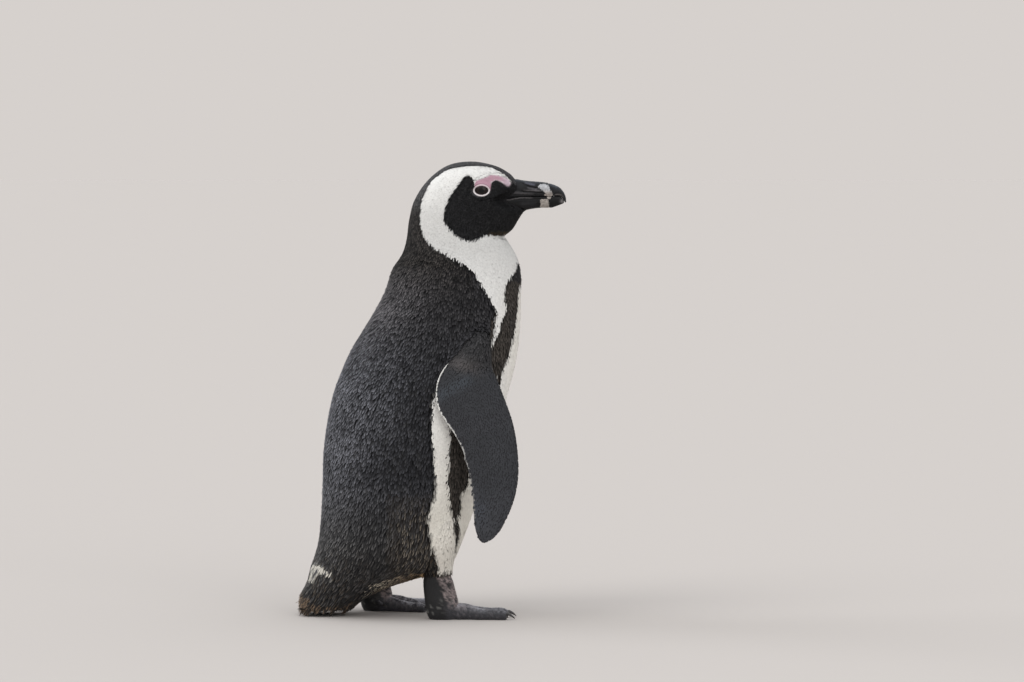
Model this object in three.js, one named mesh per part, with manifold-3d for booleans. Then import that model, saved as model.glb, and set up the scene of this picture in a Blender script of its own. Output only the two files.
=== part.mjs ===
// African penguin (Spheniscus demersus), adult, standing, life size.
// Millimetres, +Z up.  The bird faces -Y; its right side is -X.
//
// Every body form is a closed loft.  A table gives its sections from one end
// to the other; a section is an ellipse-like ring set in a plane that the
// table names.  The sides of the bird are described in (f, z), where f is the
// distance forward of the hip line and z the height over the floor.
import * as THREE from "three";
import { mergeVertices } from "three/addons/utils/BufferGeometryUtils.js";
import Module from "manifold-3d";

// ---------------------------------------------------------------- dimensions
const GAP = 0.3;                 // clearance between neighbouring pieces
const COAT = 3.0;                // outline below is out to the feather tips

// Trunk, neck and head, from the tail tip to the base of the bill.
// columns: belly f, belly z, back f, back z, half width, place of the widest
// point (0 belly .. 1 back), squareness (2 = ellipse)
const BODY = [
  [-107.7,  -4.0,-119.6,   4.9,  15.0,  0.50,  2.60],
  [ -98.3,  -4.0,-121.0,  14.3,  20.0,  0.50,  2.50],
  [ -81.6,  -1.4,-119.2,  23.8,  25.0,  0.52,  2.40],
  [ -66.9,   7.0,-113.9,  34.3,  31.0,  0.55,  2.30],
  [ -54.3,  16.4,-110.2,  49.0,  41.0,  0.57,  2.20],
  [ -37.6,  25.9,-105.5,  62.7,  52.0,  0.57,  2.10],
  [ -16.7,  33.3,-101.8,  76.4,  61.5,  0.55,  2.10],
  [   7.4,  40.3, -99.7,  93.2,  69.0,  0.52,  2.10],
  [  27.3,  44.8, -98.0, 116.3,  73.5,  0.51,  2.10],
  [  39.9,  57.5, -97.1, 141.4,  76.0,  0.50,  2.10],
  [  50.3,  81.6, -96.6, 162.4,  77.5,  0.50,  2.10],
  [  60.8, 110.0, -94.9, 183.4,  78.0,  0.50,  2.10],
  [  71.3, 141.4, -91.5, 206.4,  77.5,  0.50,  2.10],
  [  82.8, 183.4, -86.3, 230.5,  76.0,  0.50,  2.10],
  [  94.2, 225.3, -78.9, 251.4,  74.0,  0.50,  2.10],
  [ 102.6, 256.6, -68.4, 275.5,  71.5,  0.50,  2.10],
  [ 107.3, 282.8, -55.9, 296.4,  67.5,  0.50,  2.10],
  [ 109.4, 308.9, -43.3, 317.2,  62.0,  0.51,  2.05],
  [ 109.9, 335.0, -32.3, 338.1,  55.0,  0.52,  2.00],
  [ 109.9, 355.9, -24.5, 361.1,  47.5,  0.53,  2.00],
  [ 105.7, 374.6, -14.1, 377.7,  40.5,  0.53,  2.00],
  [  96.3, 391.3,  -9.3, 393.4,  35.5,  0.52,  2.00],
  [  93.2, 396.0,  -6.7, 413.2,  32.5,  0.52,  2.00],
  [  96.3, 399.1,  -1.0, 434.0,  30.5,  0.54,  2.00],
  [ 101.5, 403.8,  13.1, 454.8,  28.0,  0.56,  2.05],
  [ 107.3, 413.2,  33.9, 470.1,  24.6,  0.56,  2.00],
  [ 111.9, 419.4,  58.9, 474.1,  18.8,  0.54,  2.00],
  [ 115.6, 422.5,  82.8, 469.7,  12.8,  0.50,  2.05],
  [ 117.7, 423.8,  97.4, 462.1,  9.6,  0.48,  2.10],
  [ 119.0, 424.7, 104.1, 455.8,   8.1,  0.48,  2.10],
];
// Rows (with fractions) at which the body is parted
const CUT_TAIL = 3.4, CUT_NECK = 18.6, CUT_HEAD = 21.9;

// Flipper, hanging from the shoulder pivot.
// columns: distance below the pivot, rear edge, front edge (forward of the
// pivot), distance of the blade's middle out from the mid plane, thickness
const SHOULDER_F = 57.4, SHOULDER_Z = 282.9;
const FLIPPER = [
  [-20.0,   0.0, 15.5, 50.0, 10.0],
  [-14.0,  -4.5, 18.5, 56.0, 16.0],
  [ -4.0, -10.5, 20.5, 61.5, 19.0],
  [  9.0, -18.6, 20.8, 66.5, 19.0],
  [ 20.3, -27.6, 22.3, 70.0, 17.5],
  [ 30.6, -32.9, 27.4, 73.0, 16.0],
  [ 40.9, -34.8, 31.8, 75.5, 15.0],
  [ 51.2, -34.5, 35.8, 77.5, 14.3],
  [ 61.5, -31.7, 39.6, 79.2, 13.8],
  [ 71.7, -25.7, 43.1, 80.5, 13.2],
  [ 82.0, -18.5, 45.7, 81.7, 12.6],
  [ 92.3, -12.3, 47.5, 82.7, 12.0],
  [102.7,  -7.7, 48.9, 83.5, 11.4],
  [113.0,  -5.0, 49.6, 84.1, 10.8],
  [123.3,  -2.1, 49.9, 84.5, 10.2],
  [133.6,   0.3, 49.3, 84.8,  9.6],
  [143.9,   1.8, 47.7, 85.0,  9.0],
  [154.2,   2.7, 45.2, 85.0,  8.3],
  [164.5,   3.1, 41.6, 84.8,  7.5],
  [174.9,   3.6, 36.9, 84.4,  6.6],
  [185.2,   5.1, 31.3, 83.8,  5.6],
  [192.4,   7.6, 25.6, 83.2,  4.6],
  [196.6,  10.7, 19.5, 82.8,  3.6],
  [198.1,  12.8, 16.2, 82.6,  2.6],
];
const FLIPPER_EDGE = 0.14;       // rear edge thickness as a share of the blade's
const SWING_RIGHT = 0, SWING_LEFT = -18;   // degrees, + is forward
const FLARE_LEFT = 3.0;          // extra distance out of the left blade

// Leg: feathered thigh and shank down to the bare tarsus
// columns: z, rear f, front f (from the ankle centre), half width, out from mid plane
const LEG = [
  [118.0, -16.0,  12.0, 16.0, 34.0],
  [104.0, -20.5,  19.0, 24.0, 34.5],
  [ 84.0, -22.0,  18.0, 26.5, 35.5],
  [ 70.0, -21.0,  14.2, 24.0, 36.0],
  [ 57.0, -20.0,  11.0, 18.5, 36.5],
  [ 46.0, -20.2,   9.8, 13.2, 37.0],
  [ 37.0, -20.3,  11.8, 11.0, 37.5],
  [ 28.0, -19.6,  14.0, 10.6, 37.8],
  [ 19.0, -18.5,  16.2, 11.0, 38.0],
  [ 11.0, -17.4,  17.0, 11.0, 38.0],
  [  4.0, -15.8,  15.0, 10.2, 38.0],
  [ -1.5, -12.6,  11.0,  7.7, 38.0],
];
const STANCE = 38.0;             // ankle centre out from the mid plane
const ANKLE_RIGHT_F = 28.5, ANKLE_LEFT_F = -42.0;
const HIP_LEFT_F = -30.0;        // top of the left leg, where it enters the belly
const ANKLE_Z = 19.0;            // height at which foot and leg are parted

// Toes: name, length from the ankle centre to the claw, direction (degrees
// outward), thickness at root and tip, claw length
const TOES = [
  ["inner",  54.0, -22.0, 12.8,  9.8,  8.5],
  ["middle", 68.5,  -1.0, 14.0, 10.8,  9.0],
  ["outer",  66.5,  16.0, 13.5, 10.8,  8.6],
];
const TOE_SINK = 0.9;            // how much of each pad is flattened on the floor
const FOOT_YAW_RIGHT = -10.0, FOOT_YAW_LEFT = 4.0;
const HALLUX_DIR = -24.0;        // direction of the small hind toe, before the foot's own turn
const WEB = 2.0, WEB_Z = 2.2;    // web thickness and the height of its under side

// Bill. columns: f, lower z, upper z, half width, squareness below and above.
// The lower half is trimmed by the upper one, so the two meet along the gape.
const BILL_UPPER = [
  [ 88.0, 435.2, 451.0, 5.6, 3.6, 2.1],
  [ 88.4, 435.2, 451.0, 5.6, 3.6, 2.1],
  [ 96.3, 436.1, 454.0, 7.0, 3.6, 2.1],
  [104.4, 436.9, 455.8, 7.4, 3.6, 2.1],
  [111.0, 437.2, 454.7, 7.2, 3.6, 2.1],
  [118.0, 437.7, 453.8, 7.0, 3.6, 2.1],
  [126.0, 437.9, 453.2, 6.6, 3.6, 2.1],
  [133.0, 437.9, 452.6, 6.1, 3.6, 2.1],
  [138.0, 437.7, 451.7, 5.8, 3.4, 2.0],
  [143.0, 437.9, 450.3, 5.4, 3.2, 2.0],
  [147.7, 438.5, 448.3, 4.8, 2.9, 2.0],
  [151.5, 437.4, 445.7, 4.1, 2.5, 2.0],
  [154.3, 433.6, 442.2, 3.2, 2.2, 2.0],
  [156.0, 431.3, 438.4, 2.2, 2.0, 2.0],
  [156.8, 431.9, 435.2, 1.1, 2.0, 2.0],
];
const BILL_LOWER = [
  [ 88.0, 420.4, 436.4, 5.2, 2.2, 3.0],
  [ 88.4, 420.4, 436.4, 5.2, 2.2, 3.0],
  [ 96.3, 421.2, 437.2, 6.4, 2.2, 3.0],
  [104.7, 422.2, 437.8, 6.8, 2.2, 3.0],
  [114.0, 423.4, 438.2, 6.6, 2.2, 3.0],
  [121.3, 424.8, 438.6, 6.2, 2.2, 3.0],
  [129.6, 425.9, 438.8, 5.7, 2.2, 3.0],
  [136.0, 425.9, 438.8, 5.4, 2.2, 3.0],
  [142.0, 426.1, 438.8, 5.0, 2.2, 3.0],
  [146.0, 427.4, 438.9, 4.5, 2.1, 2.8],
  [150.2, 428.9, 438.6, 3.7, 2.0, 2.4],
  [153.2, 430.1, 436.4, 2.7, 2.0, 2.2],
  [154.6, 431.0, 433.4, 1.6, 2.0, 2.0],
];

const EYE = { f: 68.9, z: 444.8, out: 17.6, r: 8.6 };

// ---------------------------------------------------------------- helpers
const wasm = await Module();
wasm.setup();

// Catmull-Rom value of every column of a table at a fractional row
function at(table, s) {
  const n = table.length, k = Math.max(0, Math.min(n - 2, Math.floor(s))), t = s - k;
  const p = [table[Math.max(0, k - 1)], table[k], table[k + 1], table[Math.min(n - 1, k + 2)]];
  return p[1].map((_, c) => {
    const [a, b, d, e] = p.map((r) => r[c]);
    return b + 0.5 * t * (d - a + t * (2 * a - 5 * b + 4 * d - e + t * (3 * (b - d) + e - a)));
  });
}
const pow = (v, n) => Math.sign(v) * Math.pow(Math.abs(v), 2 / n);

// A closed loft: the meridians of a unit sphere are laid along the table, its
// parallels become the sections.  section(row, angle) returns [x, y, z];
// section(row, null) the middle of the section.
function loft(table, around, along, section, from = 0, to = table.length - 1) {
  const g = new THREE.SphereGeometry(1, around, along);
  g.deleteAttribute("normal"); g.deleteAttribute("uv");
  const m = mergeVertices(g, 1e-5), p = m.getAttribute("position");
  for (let i = 0; i < p.count; i++) {
    const x = p.getX(i), y = p.getY(i), z = p.getZ(i);
    const v = Math.acos(THREE.MathUtils.clamp(y, -1, 1)) / Math.PI;
    const pole = Math.hypot(x, z) < 1e-4;
    const row = at(table, from + v * (to - from));
    const q = section(row, pole ? null : Math.atan2(z, x));
    p.setXYZ(i, q[0], q[1], q[2]);
  }
  return solid(m);
}

// geometry <-> manifold
function solid(g) {
  g = g.clone();
  if (g.getAttribute("normal")) g.deleteAttribute("normal");
  if (g.getAttribute("uv")) g.deleteAttribute("uv");
  g = mergeVertices(g, 1e-5);
  const vertProperties = Float32Array.from(g.getAttribute("position").array);
  let triVerts = Uint32Array.from(g.index.array);
  let vol = 0;
  const P = (i) => new THREE.Vector3().fromArray(vertProperties, 3 * i);
  for (let i = 0; i < triVerts.length; i += 3)
    vol += P(triVerts[i]).dot(P(triVerts[i + 1]).cross(P(triVerts[i + 2])));
  if (vol < 0) for (let i = 0; i < triVerts.length; i += 3)
    [triVerts[i + 1], triVerts[i + 2]] = [triVerts[i + 2], triVerts[i + 1]];
  return new wasm.Manifold(new wasm.Mesh({ numProp: 3, vertProperties, triVerts }));
}
function geometry(m) {
  const { vertProperties, triVerts } = m.getMesh();
  const g = new THREE.BufferGeometry();
  g.setAttribute("position", new THREE.BufferAttribute(Float32Array.from(vertProperties), 3));
  g.setIndex(new THREE.BufferAttribute(Uint32Array.from(triVerts), 1));
  g.computeVertexNormals();
  return g;
}

// ---------------------------------------------------------------- sections
// body section, optionally grown by some millimetres
const bodySection = (grow = 0) => ([vf, vz, df, dz, w, mid, n], a) => {
  const len = Math.hypot(df - vf, dz - vz), uf = (df - vf) / len, uz = (dz - vz) / len;
  const cf = vf + uf * len * mid, cz = vz + uz * len * mid;
  if (a === null) return [0, -cf, cz];
  const c = pow(Math.cos(a), n), s = pow(Math.sin(a), n);
  const reach = (c > 0 ? len * (1 - mid) : len * mid) + grow;
  return [(w + grow) * s, -(cf + uf * reach * c), cz + uz * reach * c];
};
// flipper section: thick rounded front edge, thin rear edge
const flipperSection = (side, swing, flare, grow = 0) => ([d, back, front, out, t], a) => {
  const r = THREE.MathUtils.degToRad(swing), mid = (front + back) / 2;
  const half = (front - back) / 2 + grow;
  let u = 0, h = 0;
  if (a !== null) {
    u = Math.cos(a);                                   // +1 front, -1 rear
    const front1 = Math.pow(Math.max(0, 1 - Math.pow(Math.max(0, u), 2.4)), 0.5);
    const rear1 = Math.pow(Math.max(0, 1 - u * u), 0.25) * (1 - (1 - FLIPPER_EDGE) * Math.pow(Math.max(0, -u), 1.15));
    h = Math.sign(Math.sin(a)) * (u > 0 ? front1 : rear1) * (t / 2 + grow);
    if (Math.abs(Math.sin(a)) < 1e-6) h = 0;
  }
  const lf = mid + half * u, bow = 0.035 * lf;         // the blade turns slightly in at the front
  const k = Math.max(0, Math.min(1, d / 60));
  const f = SHOULDER_F + lf * Math.cos(r) + d * Math.sin(r);
  const z = SHOULDER_Z - d * Math.cos(r) + lf * Math.sin(r);
  return [side * (out + flare * k - bow * k + h), -f, z];
};
const legSection = (side, ankle, hip) => ([z, back, front, w, out], a) => {
  const t = THREE.MathUtils.smoothstep(z, 22, 95), f0 = ankle + (hip - ankle) * t;
  const mid = (front + back) / 2, half = (front - back) / 2;
  if (a === null) return [side * out, -(f0 + mid), z];
  return [side * out + w * pow(Math.sin(a), 2.2), -(f0 + mid + half * pow(Math.cos(a), 2.2)), z];
};
const billSection = (grow = 0) => ([f, lo, hi, w, below, aboveN], a) => {
  const c = (lo + hi) / 2, h = (hi - lo) / 2 + grow, back = f < 89 ? 2 * grow : 0;
  if (a === null) return [0, back - f, c];
  const n = Math.cos(a) < 0 ? below : aboveN;
  return [(w + grow) * pow(Math.sin(a), n), back - f, c + h * pow(Math.cos(a), n)];
};

// a large box on the upper side of a plane across the body at a given row
function above(row, offset) {
  const [vf, vz, df, dz] = at(BODY, row);
  const box = new THREE.BoxGeometry(700, 700, 700);
  box.translate(0, 0, 350 + offset);
  box.rotateX(Math.atan2(-(dz - vz), df - vf) + Math.PI);
  box.translate(0, -(vf + df) / 2, (vz + dz) / 2);
  return solid(box);
}
const floor = (() => { const b = new THREE.BoxGeometry(900, 900, 100); b.translate(0, 0, -50); return solid(b); })();
const union = (list) => list.reduce((a, b) => a.add(b));

// ---------------------------------------------------------------- body
const bodyLoft = loft(BODY, 26, 50, bodySection());
const bodyGrown = loft(BODY, 26, 50, bodySection(GAP));

const flipper = (side, swing, flare, grow) =>
  loft(FLIPPER, 14, 23, flipperSection(side, swing, flare, grow));

// ---------------------------------------------------------------- feet
function toeLine(side, ankle, yaw, [, length, dir, root, tip]) {
  const a = THREE.MathUtils.degToRad(dir + yaw), sx = side;
  return (s, z) => [sx * (STANCE + s * Math.sin(a)), -(ankle + s * Math.cos(a)), z];
}
function toe(side, ankle, yaw, spec) {
  const [, length, , root, tip] = spec, place = toeLine(side, ankle, yaw, spec);
  // columns: distance, half width, height of the top; knuckles swell a little
  const rows = [[-5, 3.0, 9], [-2, root * 0.5, 14], [10, root * 0.5, root * 1.2],
    [length * 0.36, root * 0.47, root * 1.13], [length * 0.48, root * 0.41, root * 0.96],
    [length * 0.6, root * 0.44, root * 0.86], [length * 0.74, tip * 0.44, tip],
    [length * 0.88, tip * 0.46, tip], [length * 0.96, tip * 0.41, tip * 0.9],
    [length, tip * 0.33, tip * 0.76], [length, tip * 0.33, tip * 0.76]];
  return loft(rows, 8, 11, ([s, w, top], a) => {
    const c = (top - TOE_SINK) / 2, h = (top + TOE_SINK) / 2;
    if (a === null) return place(s, c);
    const q = place(s, c + h * pow(Math.cos(a), 2.3)), o = w * pow(Math.sin(a), 2.2);
    const dir = THREE.MathUtils.degToRad(spec[2] + yaw);
    return [q[0] + side * o * Math.cos(dir), q[1] + o * Math.sin(dir), q[2]];
  });
}
function claw(side, ankle, yaw, spec) {
  const [, length, , , tip, clawLength] = spec, place = toeLine(side, ankle, yaw, spec);
  const dir = THREE.MathUtils.degToRad(spec[2] + yaw), start = length + GAP;
  const rows = [[0, 2.1, 0.38, 0.72], [0, 2.1, 0.38, 0.72], [0.25, 1.95, 0.40, 0.73], [0.5, 1.6, 0.33, 0.63], [0.78, 1.1, 0.2, 0.44], [1, 0.5, 0.08, 0.2]]
    .map(([k, w, lo, hi]) => [k, w, lo * tip, hi * tip]);
  return loft(rows, 6, 6, ([k, w, lo, hi], a) => {
    const s = start + k * clawLength, c = (lo + hi) / 2, h = (hi - lo) / 2;
    if (a === null) return place(s, c);
    const q = place(s, c + h * Math.cos(a)), o = w * Math.sin(a);
    return [q[0] + side * o * Math.cos(dir), q[1] + o * Math.sin(dir), q[2]];
  });
}
// web: a thin plate over the three toes, hollowed between their tips
function web(side, ankle, yaw) {
  const tips = TOES.map(([, length, dir]) => {
    const a = THREE.MathUtils.degToRad(dir + yaw), l = length * 0.93;
    return [side * (STANCE + l * Math.sin(a)), ankle + l * Math.cos(a)];
  });
  const s = new THREE.Shape();
  s.moveTo(side * (STANCE - 5), ankle + 4);
  s.lineTo(...tips[0]);
  for (let i = 1; i < 3; i++) {
    const [x0, f0] = tips[i - 1], [x1, f1] = tips[i];
    const cx = (x0 + x1) / 2, cf = (f0 + f1) / 2 - 11;
    s.quadraticCurveTo(cx, cf, x1, f1);
  }
  s.lineTo(side * (STANCE + 5), ankle + 4);
  s.closePath();
  const g = new THREE.ExtrudeGeometry(s, { depth: WEB, bevelEnabled: false, curveSegments: 5 });
  g.scale(1, -1, 1);
  g.translate(0, 0, WEB_Z);
  return solid(g);
}
const halluxPlace = (side, ankle, yaw, s) => {
  const a = THREE.MathUtils.degToRad(HALLUX_DIR + yaw);
  return [side * (STANCE - 8.5 + s * 0.925 * Math.sin(a)), ankle - 6 + s * 0.925 * Math.cos(a)];
};
function hallux(side, ankle, yaw) {
  // small hind toe on the inner side of the tarsus, pointing forward and down
  const rows = [[0, 2.5, 11.5], [3, 3.0, 11.0], [9, 2.7, 9.6], [13, 2.2, 8.2], [14.5, 1.7, 7.4], [14.5, 1.7, 7.4]];
  return loft(rows, 6, 5, ([s, r, z], a) => {
    const [x, f] = halluxPlace(side, ankle, yaw, s);
    if (a === null) return [x, -f, z];
    return [x + side * r * Math.sin(a), -f, z + r * Math.cos(a)];
  });
}
function halluxClaw(side, ankle, yaw) {
  const rows = [[0, 1.4, 0], [0, 1.4, 0], [0.35, 1.25, 0.2], [0.7, 0.8, 1.0], [1, 0.3, 2.2]];
  return loft(rows, 6, 6, ([k, r, drop], a) => {
    const [x, f] = halluxPlace(side, ankle, yaw, 14.5 + GAP + 5.5 * k), z = 7.3 - drop;
    if (a === null) return [x, -f, z];
    return [x + side * r * Math.sin(a), -f, z + r * Math.cos(a)];
  });
}

// ---------------------------------------------------------------- assembly
const COLOR = { black: 0x2b2b2e, white: 0xe6e5e2, slate: 0x3a3d42, horn: 0x232225, foot: 0x2a2726, eye: 0x0c0a09 };
const material = (color, roughness) => new THREE.MeshStandardMaterial({ color, roughness, metalness: 0 });
const penguin = new THREE.Group();
function addPiece(name, m, color, roughness = 0.8) {
  const mesh = new THREE.Mesh(geometry(m), material(color, roughness));
  mesh.name = name;
  penguin.add(mesh);
}

const billUpper = loft(BILL_UPPER, 12, 14, billSection());
const billLower = loft(BILL_LOWER, 10, 11, billSection()).subtract(loft(BILL_UPPER, 12, 14, billSection(GAP)));
const eye = (side, grow) => {
  const g = new THREE.SphereGeometry(EYE.r + grow, 14, 9);
  g.rotateZ(Math.PI / 2);
  g.translate(side * EYE.out, -EYE.f, EYE.z);
  return solid(g);
};

const legs = {}, feet = {};
for (const [name, side, ankle, hip, yaw] of [
  ["right", -1, ANKLE_RIGHT_F, ANKLE_RIGHT_F, FOOT_YAW_RIGHT],
  ["left", 1, ANKLE_LEFT_F, HIP_LEFT_F, FOOT_YAW_LEFT]]) {
  const whole = union([loft(LEG, 14, 13, legSection(side, ankle, hip)),
    ...TOES.map((t) => toe(side, ankle, yaw, t)), hallux(side, ankle, yaw), web(side, ankle, yaw)]);
  const split = (z0, z1) => { const b = new THREE.BoxGeometry(400, 600, z1 - z0); b.translate(0, 0, (z0 + z1) / 2); return solid(b); };
  legs[name] = whole.intersect(split(ANKLE_Z + GAP / 2, 300)).subtract(bodyGrown);
  feet[name] = whole.intersect(split(0, ANKLE_Z - GAP / 2));
}

const trunkAll = bodyLoft.subtract(floor);
const head = trunkAll.intersect(above(CUT_HEAD, GAP / 2))
  .subtract(loft(BILL_UPPER, 12, 14, billSection(GAP))).subtract(loft(BILL_LOWER, 10, 11, billSection(GAP)))
  .subtract(eye(1, GAP)).subtract(eye(-1, GAP));
const neck = trunkAll.subtract(above(CUT_HEAD, -GAP / 2)).intersect(above(CUT_NECK, GAP / 2));
const trunk = trunkAll.subtract(above(CUT_NECK, -GAP / 2)).intersect(above(CUT_TAIL, GAP / 2));
const tail = trunkAll.subtract(above(CUT_TAIL, -GAP / 2));

addPiece("head", head, COLOR.black);
addPiece("neck", neck, COLOR.white);
addPiece("trunk", trunk, COLOR.black);
addPiece("tail", tail, COLOR.black);
addPiece("flipper_right", flipper(-1, SWING_RIGHT, 0, 0).subtract(bodyGrown), COLOR.slate);
addPiece("flipper_left", flipper(1, SWING_LEFT, FLARE_LEFT, 0).subtract(bodyGrown), COLOR.slate);
for (const [name, side, ankle, yaw] of [["right", -1, ANKLE_RIGHT_F, FOOT_YAW_RIGHT], ["left", 1, ANKLE_LEFT_F, FOOT_YAW_LEFT]]) {
  addPiece(`leg_${name}`, legs[name], COLOR.white);
  addPiece(`foot_${name}`, feet[name], COLOR.foot, 0.6);
  for (const t of TOES) addPiece(`claw_${name}_${t[0]}`, claw(side, ankle, yaw, t), COLOR.horn, 0.4);
  addPiece(`claw_${name}_hallux`, halluxClaw(side, ankle, yaw), COLOR.horn, 0.4);
}
addPiece("bill_upper", billUpper, COLOR.horn, 0.35);
addPiece("bill_lower", billLower, COLOR.horn, 0.35);
addPiece("eye_right", eye(-1, 0), COLOR.eye, 0.1);
addPiece("eye_left", eye(1, 0), COLOR.eye, 0.1);

// origin at the middle of the box round the bird, on the floor
const box = new THREE.Box3().setFromObject(penguin);
penguin.position.set(-(box.min.x + box.max.x) / 2, -(box.min.y + box.max.y) / 2, -box.min.z);

export default penguin;
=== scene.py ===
import math
import time
import bpy
import numpy as np
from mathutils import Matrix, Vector, kdtree
from mathutils.bvhtree import BVHTree


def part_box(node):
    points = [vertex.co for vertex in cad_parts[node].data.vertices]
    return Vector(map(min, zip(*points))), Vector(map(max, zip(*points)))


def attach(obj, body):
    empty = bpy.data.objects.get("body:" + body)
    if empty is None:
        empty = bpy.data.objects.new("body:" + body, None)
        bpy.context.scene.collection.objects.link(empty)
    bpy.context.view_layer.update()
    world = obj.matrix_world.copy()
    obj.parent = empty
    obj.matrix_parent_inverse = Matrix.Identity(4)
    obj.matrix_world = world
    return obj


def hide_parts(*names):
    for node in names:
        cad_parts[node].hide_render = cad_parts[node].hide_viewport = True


# African penguin, still, life size.  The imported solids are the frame; this
# script gives them one skin, eyes, bill, claws and a coat of solid feathers.
# Working coordinates are millimetres: x across (right side negative), f
# forward, z up from the floor.  W() turns them into the frame's metres.

T0 = time.time()
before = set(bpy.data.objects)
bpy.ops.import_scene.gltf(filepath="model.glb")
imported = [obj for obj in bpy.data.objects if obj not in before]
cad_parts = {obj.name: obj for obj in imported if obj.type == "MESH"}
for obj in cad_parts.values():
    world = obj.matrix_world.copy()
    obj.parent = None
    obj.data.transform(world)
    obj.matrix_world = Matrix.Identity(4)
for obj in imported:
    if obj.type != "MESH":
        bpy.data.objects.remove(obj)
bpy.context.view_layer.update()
rng = np.random.default_rng(20)

EYE_F, EYE_Z, EYE_OUT = 68.9, 444.8, 17.6
_lo, _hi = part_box("eye_right")
SX = (_lo.x + _hi.x) * 500 + EYE_OUT
SY = (_lo.y + _hi.y) * 500 + EYE_F


def W(p):
    p = np.asarray(p, float)
    return np.stack([p[..., 0] + SX, SY - p[..., 1], p[..., 2]], -1) / 1000


# ------------------------------------------------------------------ camera
CAM_X, CAM_F, CAM_Z, CAM_DOWN = -5090.0, 100.5, 620.3, 3.747
cam_data = bpy.data.cameras.new("camera")
cam_data.lens, cam_data.sensor_width, cam_data.sensor_fit = 172.0, 36.0, "HORIZONTAL"
cam_data.clip_start, cam_data.clip_end = 0.1, 60
cam = bpy.data.objects.new("camera", cam_data)
bpy.context.scene.collection.objects.link(cam)
cam.location = Vector(W((CAM_X, CAM_F, CAM_Z)))
_d = math.radians(CAM_DOWN)
cam.rotation_mode = "QUATERNION"
cam.rotation_quaternion = Vector((math.cos(_d), 0, -math.sin(_d))).to_track_quat("-Z", "Y")
bpy.context.scene.camera = cam

# ------------------------------------------------------------------ tables
# Body: belly f, belly z, back f, back z, half width, place of the widest
# point from the belly, squareness
BODY = np.array([
    [-107.7, -4.0, -119.6, 4.9, 15, .50, 2.6], [-98.3, -4.0, -121.0, 14.3, 20, .50, 2.5], [-81.6, -1.4, -119.2, 23.8, 25, .52, 2.4],
    [-66.9, 7.0, -113.9, 34.3, 31, .55, 2.3], [-54.3, 16.4, -110.2, 49.0, 41, .57, 2.2], [-37.6, 25.9, -105.5, 62.7, 52, .57, 2.1],
    [-16.7, 33.3, -101.8, 76.4, 61.5, .55, 2.1], [7.4, 40.3, -99.7, 93.2, 69, .52, 2.1], [27.3, 44.8, -98.0, 116.3, 73.5, .51, 2.1],
    [39.9, 57.5, -97.1, 141.4, 76, .50, 2.1], [50.3, 81.6, -96.6, 162.4, 77.5, .50, 2.1], [60.8, 110.0, -94.9, 183.4, 78, .50, 2.1],
    [71.3, 141.4, -91.5, 206.4, 77.5, .50, 2.1], [82.8, 183.4, -86.3, 230.5, 76, .50, 2.1], [94.2, 225.3, -78.9, 251.4, 74, .50, 2.1],
    [102.6, 256.6, -68.4, 275.5, 71.5, .50, 2.1], [107.3, 282.8, -55.9, 296.4, 67.5, .50, 2.1], [109.4, 308.9, -43.3, 317.2, 62, .51, 2.05],
    [109.9, 335.0, -32.3, 338.1, 55, .52, 2], [109.9, 355.9, -24.5, 361.1, 47.5, .53, 2], [105.7, 374.6, -14.1, 377.7, 40.5, .53, 2],
    [96.3, 391.3, -9.3, 393.4, 35.5, .52, 2], [93.2, 396.0, -6.7, 413.2, 32.5, .52, 2], [96.3, 399.1, -1.0, 434.0, 30.5, .54, 2],
    [101.5, 403.8, 13.1, 454.8, 28, .56, 2.05], [107.3, 413.2, 33.9, 470.1, 24.6, .56, 2], [111.9, 419.4, 58.9, 474.1, 18.8, .54, 2],
    [115.6, 422.5, 82.8, 469.7, 12.8, .50, 2.05], [117.7, 423.8, 97.4, 462.1, 9.6, .48, 2.1], [119.0, 424.7, 104.1, 455.8, 8.1, .48, 2.1]])
SHOULDER_F, SHOULDER_Z = 57.4, 282.9
# Flipper: below the pivot, rear, front, out, thickness
FLIPPER = np.array([
    [-20, 0, 15.5, 50, 10], [-14, -4.5, 18.5, 56, 16], [-4, -10.5, 20.5, 61.5, 19], [9, -18.6, 20.8, 66.5, 19], [20.3, -27.6, 22.3, 70, 17.5],
    [30.6, -32.9, 27.4, 73, 16], [40.9, -34.8, 31.8, 75.5, 15], [51.2, -34.5, 35.8, 77.5, 14.3], [61.5, -31.7, 39.6, 79.2, 13.8],
    [71.7, -25.7, 43.1, 80.5, 13.2], [82, -18.5, 45.7, 81.7, 12.6], [92.3, -12.3, 47.5, 82.7, 12], [102.7, -7.7, 48.9, 83.5, 11.4],
    [113, -5, 49.6, 84.1, 10.8], [123.3, -2.1, 49.9, 84.5, 10.2], [133.6, .3, 49.3, 84.8, 9.6], [143.9, 1.8, 47.7, 85, 9],
    [154.2, 2.7, 45.2, 85, 8.3], [164.5, 3.1, 41.6, 84.8, 7.5], [174.9, 3.6, 36.9, 84.4, 6.6], [185.2, 5.1, 31.3, 83.8, 5.6],
    [192.4, 7.6, 25.6, 83.2, 4.6], [196.6, 10.7, 19.5, 82.8, 3.6], [198.1, 12.8, 16.2, 82.6, 2.6]])
FLIPPER_EDGE = .14
SWING = {-1: 0.0, 1: -18.0}
FLARE = {-1: 0.0, 1: 3.0}
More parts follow.
